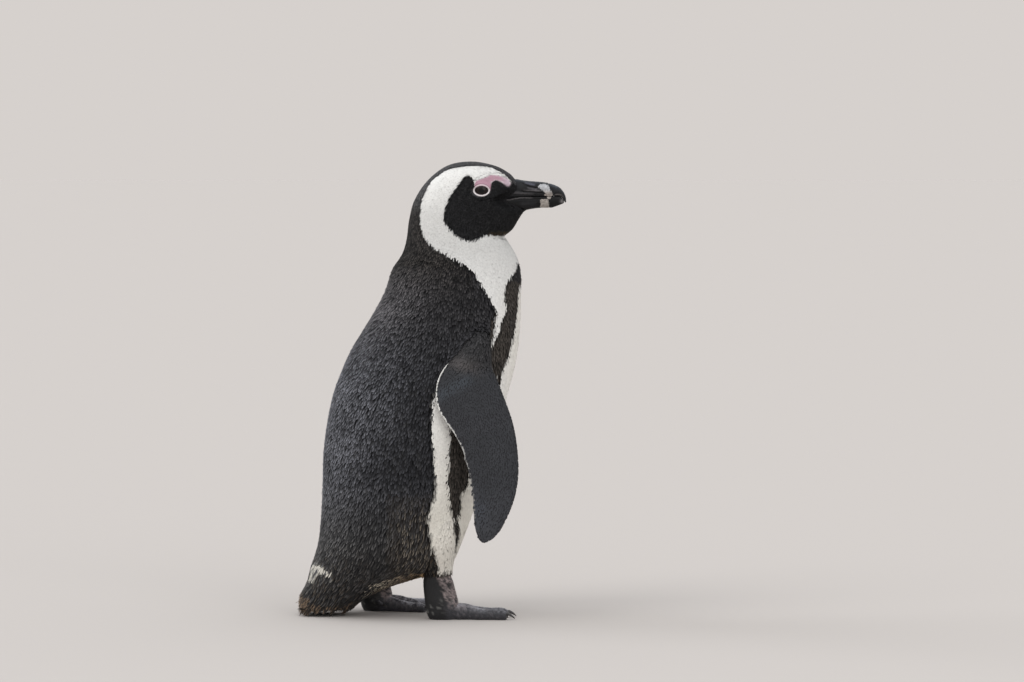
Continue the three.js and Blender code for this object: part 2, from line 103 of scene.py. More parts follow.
# Leg: z, rear and front f from the ankle, half width, out
LEG = np.array([
    [118, -16, 12, 16, 34], [104, -20.5, 19, 24, 34.5], [84, -22, 18, 26.5, 35.5], [70, -21, 14.2, 24, 36], [57, -20, 11, 18.5, 36.5],
    [46, -20.2, 9.8, 13.2, 37], [37, -20.3, 11.8, 11, 37.5], [28, -19.6, 14, 10.6, 37.8], [19, -18.5, 16.2, 11, 38],
    [11, -17.4, 17, 11, 38], [4, -15.8, 15, 10.2, 38], [-1.5, -12.6, 11, 7.7, 38]])
STANCE = 38.0
ANKLE = {-1: 28.5, 1: -42.0}
HIP = {-1: 28.5, 1: -30.0}
YAW = {-1: -10.0, 1: 4.0}
HALLUX_DIR = -24.0
TOES = {"inner": (54.0, -22.0, 12.8, 9.8, 8.5), "middle": (68.5, -1.0, 14.0, 10.8, 9.0), "outer": (66.5, 16.0, 13.5, 10.8, 8.6)}
TOE_SINK = .9
# Bill: f, lower z, upper z, half width, squareness below and above
BILL_UPPER = np.array([
    [88, 435.2, 451.0, 5.6, 3.6, 2.1], [96.3, 436.1, 454.0, 7, 3.6, 2.1], [104.4, 436.9, 455.8, 7.4, 3.6, 2.1], [111, 437.2, 454.7, 7.2, 3.6, 2.1],
    [118, 437.7, 453.8, 7, 3.6, 2.1], [126, 437.9, 453.2, 6.6, 3.6, 2.1], [133, 437.9, 452.6, 6.1, 3.6, 2.1], [138, 437.7, 451.7, 5.8, 3.4, 2],
    [143, 437.9, 450.3, 5.4, 3.2, 2], [147.7, 438.5, 448.3, 4.8, 2.9, 2], [151.5, 437.4, 445.7, 4.1, 2.5, 2], [154.3, 433.6, 442.2, 3.2, 2.2, 2],
    [156, 431.3, 438.4, 2.2, 2, 2], [156.8, 431.9, 435.2, 1.1, 2, 2]])
BILL_LOWER = np.array([
    [88, 420.4, 436.4, 5.2, 2.2, 3], [96.3, 421.2, 437.2, 6.4, 2.2, 3], [104.7, 422.2, 437.8, 6.8, 2.2, 3], [114, 423.4, 438.2, 6.6, 2.2, 3],
    [121.3, 424.8, 438.6, 6.2, 2.2, 3], [129.6, 425.9, 438.8, 5.7, 2.2, 3], [136, 425.9, 438.8, 5.4, 2.2, 3], [142, 426.1, 438.8, 5, 2.2, 3],
    [146, 427.4, 438.9, 4.5, 2.1, 2.8], [150.2, 428.9, 438.6, 3.7, 2, 2.4], [153.2, 430.1, 436.4, 2.7, 2, 2.2], [154.6, 431, 433.4, 1.6, 2, 2]])

# Markings, as outlines on the bird's side: f, z.  Both sides carry them.
WHITE_OUTER = [(100.2, 453.4), (97.6, 456.9), (91.1, 461.1), (85.9, 464.7), (79.7, 467.3), (72.4, 468.9), (62.0, 469.4), (51.6, 468.9), (43.3, 467.8),
    (36.0, 466.3), (30.8, 464.2), (25.6, 460.5), (20.4, 456.9), (16.2, 452.7), (13.1, 447.5), (10.0, 441.3), (6.8, 434.0), (5.8, 425.7), (4.7, 418.4),
    (4.7, 411.1), (5.8, 403.8), (7.8, 397.5), (11.0, 392.3), (15.1, 388.2), (20.3, 383.0), (25.5, 379.8), (35.9, 374.6), (43.2, 371.0), (49.5, 367.3),
    (55.7, 362.6), (60.9, 357.9), (65.1, 351.7), (68.2, 345.4), (72.4, 339.2), (75.5, 332.9), (79.7, 326.6), (82.8, 320.4), (84.9, 315.2), (81.9, 306.8),
    (83.5, 300.6), (81.9, 295.4), (79.9, 290.2), (78.3, 286.1), (78.1, 278.8)]
WHITE_INNER = [(80.6, 280.9), (82.8, 285.5), (85.0, 290.2), (87.1, 295.4), (90.2, 300.6), (88.4, 306.8), (94.2, 314.1), (95.3, 321.4), (93.2, 329.8), (93.2, 338.1),
    (94.2, 344.4), (96.3, 349.6), (100.5, 354.8), (103.6, 360.0), (105.7, 365.2), (107.8, 370.4)]
MASK = [(100.0, 450.4), (98.9, 447.8), (96.7, 446.8), (94.3, 448.6), (90.1, 452.2), (85.9, 454.3), (82.8, 454.3), (79.7, 452.2), (78.7, 448.6), (78.1, 444.4),
    (68.0, 444.0), (61.0, 449.1), (60.4, 451.7), (58.9, 457.4), (55.8, 459.5), (52.6, 459.0), (50.6, 457.9), (47.4, 453.8), (43.3, 448.6), (39.1, 442.3),
    (34.9, 435.0), (31.8, 428.8), (29.7, 421.5), (28.7, 415.3), (30.8, 410.0), (33.9, 404.8), (39.1, 399.6), (45.3, 394.9), (51.6, 392.3), (57.8, 390.8),
    (63.0, 392.3), (67.2, 394.4), (72.4, 396.5), (77.6, 397.0), (88.0, 396.0), (93.2, 396.5), (130, 396.5), (170, 420), (170, 450.6)]
PINK = [(61.5, 450.6), (63.0, 454.3), (68.2, 455.8), (73.5, 457.9), (77.6, 460.0), (81.8, 460.5), (85.9, 460.0), (90.1, 458.5), (94.3, 457.4), (97.6, 455.6),
    (99.7, 453.0), (100.0, 450.4), (98.9, 447.8), (96.7, 446.8), (94.3, 448.6), (90.1, 452.2), (85.9, 454.3), (82.8, 454.3), (79.7, 452.2), (78.7, 448.6), (78.1, 444.4),
    (75, 440), (62, 440)]
BAND_FRONT = [(108.8, 343.3), (107.3, 337.1), (106.8, 329.8), (106.2, 319.3), (105.7, 311.0), (104.1, 301.6), (102.6, 293.2), (100.5, 284.9), (98.4, 275.5),
    (96.3, 267.1), (93.2, 260.8), (91.1, 254.5), (89.0, 248.3), (88.0, 241.0), (79.6, 220.0), (71.3, 199.1), (62.9, 172.9), (55.6, 146.7), (54.5, 136.2),
    (51.4, 131.0), (47.2, 126.8), (48.3, 120.5), (47.2, 113.1), (46.2, 106.8), (47.2, 99.5), (46.1, 91.1), (45.1, 83.7), (44.0, 73.2), (43.5, 65.9)]
BAND_REAR = [(43.0, 68.0), (41.2, 81.6), (38.6, 89.0), (37.8, 99.5), (36.6, 110.0), (35.3, 120.5), (34.7, 131.0), (33.6, 141.4), (34.2, 151.9), (35.8, 160.3),
    (34.7, 167.7), (37.9, 183.4), (35.8, 189.7), (41.0, 206.4), (46.2, 223.2), (45.2, 237.8), (39.0, 248.3), (34.0, 254.5)]
STRIPE_REAR = [(21.2, 233.6), (19.1, 225.3), (17.0, 220.0), (16.0, 214.8), (17.0, 204.3), (15.9, 193.8), (17.0, 183.4), (18.0, 172.9), (19.0, 162.4),
    (20.1, 151.9), (21.1, 141.4), (20.0, 120.5), (15.9, 115.2), (13.8, 104.7), (12.7, 94.2), (14.8, 83.7), (16.9, 73.2), (18.9, 62.7), (22.1, 57.5),
    (24.2, 46.9), (25.2, 42.7)]
RUMP_SPOT = [(-104.5, 56.9), (-99.2, 54.3), (-95.1, 49.5), (-89.8, 45.3), (-86.2, 39.0), (-90.5, 39.0), (-96.1, 45.2), (-101.6, 47.6), (-105.0, 43.7), (-107.6, 38.0), (-111.8, 39.5),
    (-110.8, 45.8), (-108.1, 53.2)]
P_COLLAR = WHITE_OUTER + WHITE_INNER + [(125, 372), (200, 372), (200, 420), (99, 448)]
P_BELLY = BAND_FRONT + [(43.5, 20), (43, -30), (260, -30), (260, 343.3)]
P_STRIPE = STRIPE_REAR + [(27, 20), (43.5, 20)] + BAND_REAR


# ----------------------------------------------------------------- helpers
def at(table, s):
    s = np.clip(np.asarray(s, float), 0, len(table) - 1)
    k = np.clip(np.floor(s).astype(int), 0, len(table) - 2)
    t = (s - k)[..., None]
    a, b, d, e = table[np.maximum(k - 1, 0)], table[k], table[k + 1], table[np.minimum(k + 2, len(table) - 1)]
    return b + .5 * t * (d - a + t * (2 * a - 5 * b + 4 * d - e + t * (3 * (b - d) + e - a)))


def spow(v, n):
    return np.sign(v) * np.abs(v) ** (2 / n)


def step(a, b, x):
    t = np.clip((np.asarray(x, float) - a) / (b - a), 0, 1)
    return t * t * (3 - 2 * t)


def unit(v):
    return v / np.maximum(np.linalg.norm(v, axis=-1, keepdims=True), 1e-12)


def inside(poly, u, v):
    p = np.asarray(poly, float)
    hit = np.zeros(np.shape(u), bool)
    x0, y0 = p[-1]
    for x1, y1 in p:
        if y0 != y1:
            c = ((y0 > v) != (y1 > v)) & (u < (x1 - x0) * (v - y0) / (y1 - y0) + x0)
            hit ^= c
        x0, y0 = x1, y1
    return hit


def side_uv(p):
    """Place on the side outline where the markings are drawn, for points of either side."""
    k = -CAM_X / (-CAM_X - np.abs(p[..., 0]))
    return CAM_F + (p[..., 1] - CAM_F) * k, CAM_Z + (p[..., 2] - CAM_Z) * k


def value_noise(p, size, seed):
    """Smooth noise in -1..1 at points p, with cells of the given size."""
    q = np.asarray(p, float) / size
    i = np.floor(q).astype(np.int64)
    t = q - i
    t = t * t * (3 - 2 * t)
    out = np.zeros(len(q))
    for dx in (0, 1):
        for dy in (0, 1):
            for dz in (0, 1):
                h = ((i[:, 0] + dx) * 374761393 + (i[:, 1] + dy) * 668265263 + (i[:, 2] + dz) * 2147483647 + seed * 974634777) & 0xFFFFFFFF
                h = ((h ^ (h >> 13)) * 1274126177) & 0xFFFFFFFF
                h = (h ^ (h >> 16)) & 0xFFFF
                w = (t[:, 0] if dx else 1 - t[:, 0]) * (t[:, 1] if dy else 1 - t[:, 1]) * (t[:, 2] if dz else 1 - t[:, 2])
                out += w * (h / 32767.5 - 1)
    return out


# ---------------------------------------------------------------- surfaces
EDGE_Z = [419, 421.5, 424, 427, 431, 434.8, 437.5, 441, 445, 450, 454.8, 460]
EDGE_F = [114.5, 113.0, 108, 103, 97, 93.0, 97.5, 103, 106.5, 106.5, 104.6, 105.5]


def ahead_of_feathers(f, z):
    """How far a point of the face is in front of the edge where feathers end at the bill."""
    return f - np.interp(z, EDGE_Z, EDGE_F)


def body_point(s, a):
    vf, vz, df, dz, w, mid, n = np.moveaxis(at(BODY, s), -1, 0)
    ln = np.hypot(df - vf, dz - vz)
    uf, uz = (df - vf) / ln, (dz - vz) / ln
    cf, cz = vf + uf * ln * mid, vz + uz * ln * mid
    c, q = spow(np.cos(a), n), spow(np.sin(a), n)
    reach = np.where(c > 0, ln * (1 - mid), ln * mid)
    x, f, z = w * q, cf + uf * reach * c, cz + uz * reach * c
    # the face narrows to the bill, and a shallow crease runs back from the gape
    head = np.asarray(s) > 23.5
    ah = ahead_of_feathers(f, z)
    k = step(-17, 0, ah) * step(23.5, 25, s)
    lim = 8.4 - 3.4 * step(-1, 3, ah)
    ax = np.abs(x)
    x2 = ax + (np.minimum(ax, lim) - ax) * k
    t = np.clip(((f - 92.2) * -16.2 + (z - 434.5) * -6.0) / (16.2 ** 2 + 6.0 ** 2), 0, 1)
    dist = np.hypot(f - (92.2 - 16.2 * t), z - (434.5 - 6.0 * t))
    x2 = x2 - .9 * (1 - t) ** .5 * np.exp(-(dist / 1.7) ** 2) * (ax > 6)
    x = np.where(head, np.sign(x) * x2, x)
    return np.stack([x, f, z], -1)


def flipper_point(side, s, a, grow=0.0):
    d, back, front, out, t = np.moveaxis(at(FLIPPER, s), -1, 0)
    r = math.radians(SWING[side])
    mid, half = (front + back) / 2, (front - back) / 2 + grow
    u = np.cos(a)
    front1 = np.maximum(0, 1 - np.maximum(0, u) ** 2.4) ** .5
    rear1 = np.maximum(0, 1 - u * u) ** .25 * (1 - (1 - FLIPPER_EDGE) * np.maximum(0, -u) ** 1.15)
    h = np.sign(np.sin(a)) * np.where(u > 0, front1, rear1) * np.maximum(t / 2 + grow, .45)
    lf = mid + half * u
    k = np.clip(d / 60, 0, 1)
    f = SHOULDER_F + lf * math.cos(r) + d * math.sin(r)
    z = SHOULDER_Z - d * math.cos(r) + lf * math.sin(r)
    return np.stack([side * (out + FLARE[side] * k - .035 * lf * k + h), f, z], -1)


def leg_shift(side, z):
    return ANKLE[side] + (HIP[side] - ANKLE[side]) * step(22, 95, z)


def leg_point(side, s, a, grow=0.0):
    z, back, front, w, out = np.moveaxis(at(LEG, s), -1, 0)
    mid, half = (front + back) / 2, (front - back) / 2 + grow
    f = leg_shift(side, z) + mid + half * spow(np.cos(a), 2.2)
    return np.stack([side * out + (w + grow) * spow(np.sin(a), 2.2), f, z + 0 * f], -1)


def normals(fn, s, a, ds=.03, da=.02):
    v = np.cross(fn(s, a + da) - fn(s, a - da), fn(s + ds, a) - fn(s - ds, a))
    return unit(v)


# coat depth, feather length, width and spacing along the body
ROWS = [0, 1, 3, 6, 12, 17, 18.6, 20, 22, 24, 25, 26, 28, 29]
DEPTH = [2.0, 2.2, 3.0, 3.4, 3.5, 3.4, 3.2, 3.0, 2.5, 1.8, 1.4, 1.1, .8, .6]
LONG = [14, 14, 12, 10, 9.0, 8.4, 7.6, 6.6, 5.0, 3.9, 3.3, 2.8, 2.1, 1.7]
WIDE = [3.4, 3.4, 3.2, 3.0, 2.9, 2.7, 2.5, 2.2, 1.8, 1.5, 1.3, 1.15, .95, .85]
APART = [2.1, 2.1, 2.05, 2.0, 1.98, 1.85, 1.6, 1.42, 1.22, 1.06, .95, .86, .72, .66]

EYE_A, EYE_B = 7.0, 4.55          # half length and half height of the eye's opening
ORBIT_PHI = np.radians([-180, -135, -90, -45, -12, 0, 14, 30, 45, 70, 90, 135, 180])
ORBIT_R = [11.5, 10.5, 9.8, 11.5, 20, 33, 34.5, 30, 26.5, 18.5, 15, 12, 11.5]


def orbit_coords(p):
    f, z = p[..., 1] - EYE_F, p[..., 2] - EYE_Z
    r, phi = np.hypot(f, z), np.arctan2(z, f)
    opening = np.hypot(f / EYE_A, z / EYE_B)
    return r, phi, opening, r / np.interp(phi, ORBIT_PHI, ORBIT_R)


def body_depth(s, p):
    d = np.interp(s, ROWS, DEPTH)
    r, phi, opening, t = orbit_coords(p)
    on = (np.asarray(s) > 23) & (np.abs(p[..., 0]) > 6)
    d = np.where(on, d + 1.0 * (1 - step(.82, .97, t)) + 5.5 * (1 - step(1.2, 1.75, opening)), d)
    return d


def body_normal(s, a):
    n = normals(body_point, np.clip(s, .04, 28.96), a)
    c = at(BODY, s)
    mid = np.stack([np.zeros_like(c[..., 0]), (c[..., 0] + c[..., 2]) / 2, (c[..., 1] + c[..., 3]) / 2], -1)
    out = np.einsum("...i,...i", n, body_point(s, a) - mid)
    return n * np.where(out < 0, -1, 1)[..., None]


def grid_to_mesh(P, ends=True):
    """Closed surface from rows of points: quads, and a fan over each end."""
    m, n = P.shape[:2]
    i, j = np.meshgrid(np.arange(m - 1), np.arange(n), indexing="ij")
    q = np.stack([i * n + j, i * n + (j + 1) % n, (i + 1) * n + (j + 1) % n, (i + 1) * n + j], -1).reshape(-1, 4)
    V = P.reshape(-1, 3)
    T = np.concatenate([q[:, [0, 1, 2]], q[:, [0, 2, 3]]])
    if ends:
        V = np.concatenate([V, P[0].mean(0)[None], P[-1].mean(0)[None]])
        k = np.arange(n)
        T = np.concatenate([T, np.stack([np.full(n, m * n), (k + 1) % n, k], -1),
                            np.stack([np.full(n, m * n + 1), (m - 1) * n + k, (m - 1) * n + (k + 1) % n], -1)])
    return facing_out(V, T)


def facing_out(V, T):
    a, b, c = V[T[:, 0]], V[T[:, 1]], V[T[:, 2]]
    if np.einsum("ij,ij->", a - V.mean(0), np.cross(b - V.mean(0), c - V.mean(0))) < 0:
        T = T[:, ::-1]
    return V, T


def make_object(name, V, T, smooth=True, world=True):
    me = bpy.data.meshes.new(name)
    T = T[:, ::-1] if world else T             # W() mirrors, so the winding turns with it
    me.vertices.add(len(V))
    me.vertices.foreach_set("co", (W(V) if world else V).astype(np.float32).ravel())
    me.loops.add(T.size)
    me.loops.foreach_set("vertex_index", T.astype(np.int32).ravel())
    me.polygons.add(len(T))
    me.polygons.foreach_set("loop_start", (np.arange(len(T)) * 3).astype(np.int32))
    me.polygons.foreach_set("use_smooth", np.full(len(T), smooth))
    me.update(calc_edges=True)
    o = bpy.data.objects.new(name, me)
    bpy.context.scene.collection.objects.link(o)
    return o


def coords(me):
    co = np.zeros(len(me.vertices) * 3, np.float32)
    me.vertices.foreach_get("co", co)
    co = co.reshape(-1, 3).astype(float) * 1000
    return np.stack([co[:, 0] - SX, SY - co[:, 1], co[:, 2]], -1)


def triangles(me):
    me.calc_loop_triangles()
    t = np.zeros(len(me.loop_triangles) * 3, np.int32)
    me.loop_triangles.foreach_get("vertices", t)
    return t.reshape(-1, 3)[:, ::-1]


def colour_attribute(me, rgb, name="Col"):
    a = me.color_attributes.new(name, "FLOAT_COLOR", "POINT")
    a.data.foreach_set("color", np.concatenate([rgb, np.ones((len(rgb), 1))], 1).astype(np.float32).ravel())


def bvh(V, T):
    return BVHTree.FromPolygons([tuple(v) for v in V.tolist()], [tuple(t) for t in T.tolist()], epsilon=0)


# ------------------------------------------------------------- skin: body
def even_rows(fn, s0, s1, gap):
    """Row places that lie about gap apart on the longest side of a loft."""
    s = np.linspace(s0, s1, 1200)
    a = np.linspace(0, 2 * math.pi, 24, endpoint=False)
    P = fn(s[:, None], a[None, :])
    d = np.linalg.norm(np.diff(P, axis=0), axis=-1).max(1)
    L = np.concatenate([[0], np.cumsum(d / gap(np.minimum(s[1:], s[:-1])))])
    n = int(math.ceil(L[-1]))
    return np.interp(np.linspace(0, L[-1], n + 1), L, s)


body_rows = even_rows(body_point, .55, 29, lambda s: np.interp(s, [0, 17, 21, 23, 29], [2.6, 2.6, 2.1, 1.27, 1.12]))
body_ang = np.linspace(0, 2 * math.pi, 120, endpoint=False)
S, A = np.meshgrid(body_rows, body_ang, indexing="ij")
outer = body_point(S, A)
inner = outer - body_normal(S, A) * body_depth(S, outer)[..., None]
inner[..., 2] = np.maximum(inner[..., 2], np.interp(S, [0, 3.6, 5.6], [10.5, 10.5, 1.2]))
inner_body = grid_to_mesh(inner)
oa = np.linspace(0, 2 * math.pi, 240, endpoint=False)
osr = np.linspace(22, 29, 260)
ov = body_point(osr[:, None], oa[None, :])
outer_tree = bvh(*grid_to_mesh(ov))


def flipper_rows():
    return np.concatenate([np.linspace(0, 21, 96), np.linspace(21.15, 23, 14)])


def skin_flipper(side):
    s, a = np.meshgrid(flipper_rows(), np.linspace(0, 2 * math.pi, 56, endpoint=False), indexing="ij")
    return grid_to_mesh(flipper_point(side, s, a, -.6))


def leg_grow(z):
    return np.interp(z, [30, 40, 46, 57, 84], [-.05, -.15, -1.2, -2.2, -2.8])


def skin_leg(side):
    s, a = np.meshgrid(np.concatenate([np.linspace(0, 4, 14), np.linspace(4.15, 11, 56)]), np.linspace(0, 2 * math.pi, 52, endpoint=False), indexing="ij")
    z = at(LEG, s)[..., 0]
    p = leg_point(side, s, a, leg_grow(z))
    # rough scales on the bare tarsus
    k = 1 - step(36, 46, z)
    n = np.stack([np.sin(a), np.cos(a), 0 * a], -1)
    row = np.floor(z / 2.3)
    pat = np.minimum(np.abs(np.sin(math.pi * z / 2.3)), np.abs(np.sin(a * 10 + row * 1.7)))
    p = p + n * (.28 * (pat ** .45 - .8) * k)[..., None]
    p[..., 2] = np.maximum(p[..., 2], .02)
    return grid_to_mesh(p)


def toe_place(side, name, s, o=0.0):
    """Point s along a toe and o across it, in the ground plane."""
    r = math.radians(TOES[name][1] + YAW[side])
    return side * (STANCE + s * math.sin(r) + o * math.cos(r)), ANKLE[side] + s * math.cos(r) - o * math.sin(r)


def skin_toe(side, name):
    L, _, root, tip, _ = TOES[name]
    rows = np.array([[-5, 3.0, 9], [-2, root * .5, 14], [10, root * .5, root * 1.2], [L * .36, root * .47, root * 1.13], [L * .48, root * .41, root * .96],
                     [L * .6, root * .44, root * .86], [L * .74, tip * .44, tip], [L * .88, tip * .46, tip], [L * .96, tip * .41, tip * .9],
                     [L, tip * .33, tip * .76]])
    s, a = np.meshgrid(np.linspace(0, 9, 92), np.linspace(0, 2 * math.pi, 30, endpoint=False), indexing="ij")
    d, w, top = np.moveaxis(at(rows, s), -1, 0)
    # transverse plates on top, small round scales on the sides
    up = np.clip(np.cos(a) * 1.6, 0, 1)
    plate = np.abs(np.sin(math.pi * d / 2.9)) ** .35
    row = np.floor(d / 1.6)
    pebble = np.minimum(np.abs(np.sin(math.pi * d / 1.6)), np.abs(np.sin(a * 7 + row * 1.9))) ** .5
    bump = np.where(np.cos(a) > 0, up * .42 * (plate - .85) + (1 - up) * .26 * (pebble - .8), .22 * (pebble - .8))
    bump = bump * step(2, 12, d)
    c, h = (top - TOE_SINK) / 2, (top + TOE_SINK) / 2
    o = (w + bump) * spow(np.sin(a), 2.2)
    z = c + (h + bump) * spow(np.cos(a), 2.3)
    x, f = toe_place(side, name, d, o)
    return grid_to_mesh(np.stack([x, f, np.maximum(z, .02)], -1))


def skin_web(side, n0, n1):
    """Web between two toes: a closed thin sheet, hollow at its front edge."""
    t, k = np.meshgrid(np.linspace(0, 1, 40), np.linspace(0, 1, 44), indexing="ij")     # along, across
    L0, L1 = TOES[n0][0] * .93, TOES[n1][0] * .93
    x0, f0 = toe_place(side, n0, 6 + (L0 - 6) * t)
    x1, f1 = toe_place(side, n1, 6 + (L1 - 6) * t)
    x, f = x0 + (x1 - x0) * k, f0 + (f1 - f0) * k
    f = f - 9.0 * (4 * k * (1 - k)) ** 1.1 * t ** 2.2
    fold = .35 * np.sin(k * 19 + 3 * t) * np.sin(math.pi * k) * step(.05, .4, t)
    mid = 3.2 + 2.6 * (2 * np.abs(k - .5)) ** 3 + fold + 1.2 * (1 - t)
    half = .95 - .35 * step(.85, 1, t) + .5 * (2 * np.abs(k - .5)) ** 4
    P = np.concatenate([np.stack([x, f, mid + half], -1), np.stack([x, f, mid - half], -1)[:, ::-1]], 1)
    P[..., 2] = np.maximum(P[..., 2], .9)
    return grid_to_mesh(P)


def hallux_place(side, d):
    r = math.radians(HALLUX_DIR + YAW[side])
    return side * (STANCE - 8.5 + d * .925 * math.sin(r)), ANKLE[side] - 6 + d * .925 * math.cos(r)


def skin_hallux(side):
    rows = np.array([[0, 2.5, 11.5], [3, 3.0, 11.0], [9, 2.7, 9.6], [13, 2.2, 8.2], [14.5, 1.7, 7.4]])
    s, a = np.meshgrid(np.linspace(0, 4, 36), np.linspace(0, 2 * math.pi, 22, endpoint=False), indexing="ij")
    d, r, z = np.moveaxis(at(rows, s), -1, 0)
    r = r + .2 * (np.abs(np.sin(math.pi * d / 1.9)) ** .4 - .85) * np.clip(np.cos(a) * 2, 0, 1)
    x, f = hallux_place(side, d)
    return grid_to_mesh(np.stack([x + side * r * np.sin(a), f, z + r * np.cos(a)], -1))


parts = [skin_flipper(-1), skin_flipper(1)]
for side in (-1, 1):
    parts += [skin_leg(side), skin_web(side, "inner", "middle"), skin_web(side, "middle", "outer"), skin_hallux(side)]
    parts += [skin_toe(side, n) for n in TOES]
skin = make_object("skin", *inner_body)
cutters = []
for V, T in parts:
    c = make_object("part", V, T)
    m = skin.modifiers.new("join", "BOOLEAN")
    m.operation, m.solver, m.object = "UNION", "MANIFOLD", c
    cutters.append(c)
bpy.context.view_layer.update()
dg = bpy.context.evaluated_depsgraph_get()
joined = bpy.data.meshes.new_from_object(skin.evaluated_get(dg))
skin.modifiers.clear()
old = skin.data
for c in cutters:
    me = c.data
    bpy.data.objects.remove(c)
    bpy.data.meshes.remove(me)
SV, ST = coords(joined), triangles(joined)
print("skin union", len(SV), len(ST), [len(v[1]) for v in [inner_body] + parts], round(time.time() - T0, 1))


# a soft fillet where flippers and thighs leave the body
def near_tree(V, T, pts, limit):
    tree = bvh(V, T)
    return np.array([1e9 if (h := tree.find_nearest(p, limit))[0] is None else h[3] for p in map(Vector, pts.tolist())])


pick = np.nonzero((SV[:, 2] > 38) & (SV[:, 2] < 320) & (np.abs(SV[:, 0]) > 6))[0]
db = near_tree(*inner_body, SV[pick], 9)
soft = np.zeros(len(SV))
for k, (V, T) in enumerate([parts[0], parts[1], parts[2], parts[2 + 7]]):
    dl = near_tree(V, T, SV[pick], 9)
    both = np.maximum(db, dl)
    reach = 7.5 if k < 2 else 6.0
    soft[pick] = np.maximum(soft[pick], 1 - step(.2 * reach, reach, both))
E = np.concatenate([ST[:, [0, 1]], ST[:, [1, 2]], ST[:, [2, 0]]])
deg = np.bincount(E.ravel(), minlength=len(SV)).astype(float)
for _ in range(26):
    acc = np.stack([np.bincount(E[:, 0], SV[E[:, 1], c], len(SV)) + np.bincount(E[:, 1], SV[E[:, 0], c], len(SV)) for c in range(3)], 1)
    SV = SV + (acc / deg[:, None] - SV) * (soft * .8)[:, None]

# --------------------------------------------- skin: orbit, lids and folds
def head_x(f, z):
    h = outer_tree.ray_cast(Vector((-90, f, z)), Vector((1, 0, 0)), 89)
    return -h[0].x if h[0] is not None else 6.0


EYE_R, EYE_LAT = 8.6, 7.3


def eyeball_x(r):
    return EYE_OUT + EYE_LAT * np.sqrt(np.maximum(0, 1 - (r / EYE_R) ** 2))


def orbit_sheet():
    """Bare skin round the eye, for the right side: rolled lid margins, folds, and the patch above."""
    NA, NR = 150, 40
    phi = np.linspace(-math.pi, math.pi, NA, endpoint=False)
    tt = np.linspace(0, 1, NR) ** 1.55
    r0 = 1 / np.sqrt((np.cos(phi) / EYE_A) ** 2 + (np.sin(phi) / EYE_B) ** 2)
    R = np.interp(phi, ORBIT_PHI, ORBIT_R)
    r = r0[None] + (R - r0)[None] * tt[:, None]
    f, z = EYE_F + r * np.cos(phi), EYE_Z + r * np.sin(phi)
    d = r - r0[None]
    X0 = np.array([head_x(a, b) for a, b in zip(f.ravel(), z.ravel())]).reshape(f.shape)
    u, v = side_uv(np.stack([X0, f, z], -1))
    bare = inside(PINK, u, v).astype(float)
    for _ in range(3):
        b = bare.copy()
        b[1:-1] = (bare[:-2] + bare[2:] + np.roll(bare, 1, 1)[1:-1] + np.roll(bare, -1, 1)[1:-1]) / 4
        bare = b
    rosy = bare.copy()
    for _ in range(5):
        b = rosy.copy()
        b[1:-1] = (rosy[:-2] + rosy[2:] + np.roll(rosy, 1, 1)[1:-1] + np.roll(rosy, -1, 1)[1:-1]) / 4
        rosy = b
    bare = np.maximum(bare, 1 - step(2.0, 3.0, d))
    base = X0 - .12 - .75 * (1 - bare)
    lid = eyeball_x(r0)[None] + .45 + 0 * d
    x = lid + (base - lid) * step(.5, 5.5, d)
    x = x + .42 * np.exp(-((d - .85) / .6) ** 2) - .34 * np.exp(-((d - 2.1) / .45) ** 2) + .26 * np.exp(-((d - 3.0) / .55) ** 2)
    x = x - .22 * np.exp(-((d - 4.1) / .4) ** 2) + .12 * np.exp(-((d - 5.0) / .5) ** 2)
    # fine wrinkles: rings round the eye crossed by short creases
    pts = np.stack([X0, f, z], -1).reshape(-1, 3)
    wr = value_noise(pts * [1, 1, 1], 1.5, 3).reshape(f.shape)
    ring = np.sin(d * 3.1 + 1.8 * wr) * .07 + np.sin(phi[None] * 34 + 2.4 * wr + d * .6) * .06
    x = x + ring * bare * step(1.2, 2.6, d)
    x = x - 1.9 * step(.9, 1, tt)[:, None]
    tuck = np.stack([-(eyeball_x(r0 - .5) - 1.0), EYE_F + (r0 - .5) * np.cos(phi), EYE_Z + (r0 - .5) * np.sin(phi)], -1)
    edge = np.stack([-(eyeball_x(r0 - .1) + .22), EYE_F + (r0 - .1) * np.cos(phi), EYE_Z + (r0 - .1) * np.sin(phi)], -1)
    P = np.concatenate([tuck[None], edge[None], np.stack([-x, f, z], -1)])
    back = P[::-1].copy()
    back[..., 0] += .8
    P = np.concatenate([P, back])            # a closed ring: outside, then inside
    m, n = P.shape[:2]
    i, j = np.meshgrid(np.arange(m), np.arange(n), indexing="ij")
    q = np.stack([i * n + j, i * n + (j + 1) % n, ((i + 1) % m) * n + (j + 1) % n, ((i + 1) % m) * n + j], -1).reshape(-1, 4)
    V, T = P.reshape(-1, 3), np.concatenate([q[:, [0, 1, 2]], q[:, [0, 2, 3]]])
    a, b, c = V[T[:, 0]], V[T[:, 1]], V[T[:, 2]]
    if np.einsum("ij,ij->", a, np.cross(b, c)) < 0:
        T = T[:, ::-1]
    dd = np.concatenate([np.zeros((2, n)) - .3, d])
    one = np.ones((2, n))
    return V, T, np.concatenate([dd, dd[::-1]]).ravel(), np.concatenate([one, bare, bare[::-1], one]).ravel(), np.concatenate([one * 0, rosy, rosy[::-1], one * 0]).ravel()


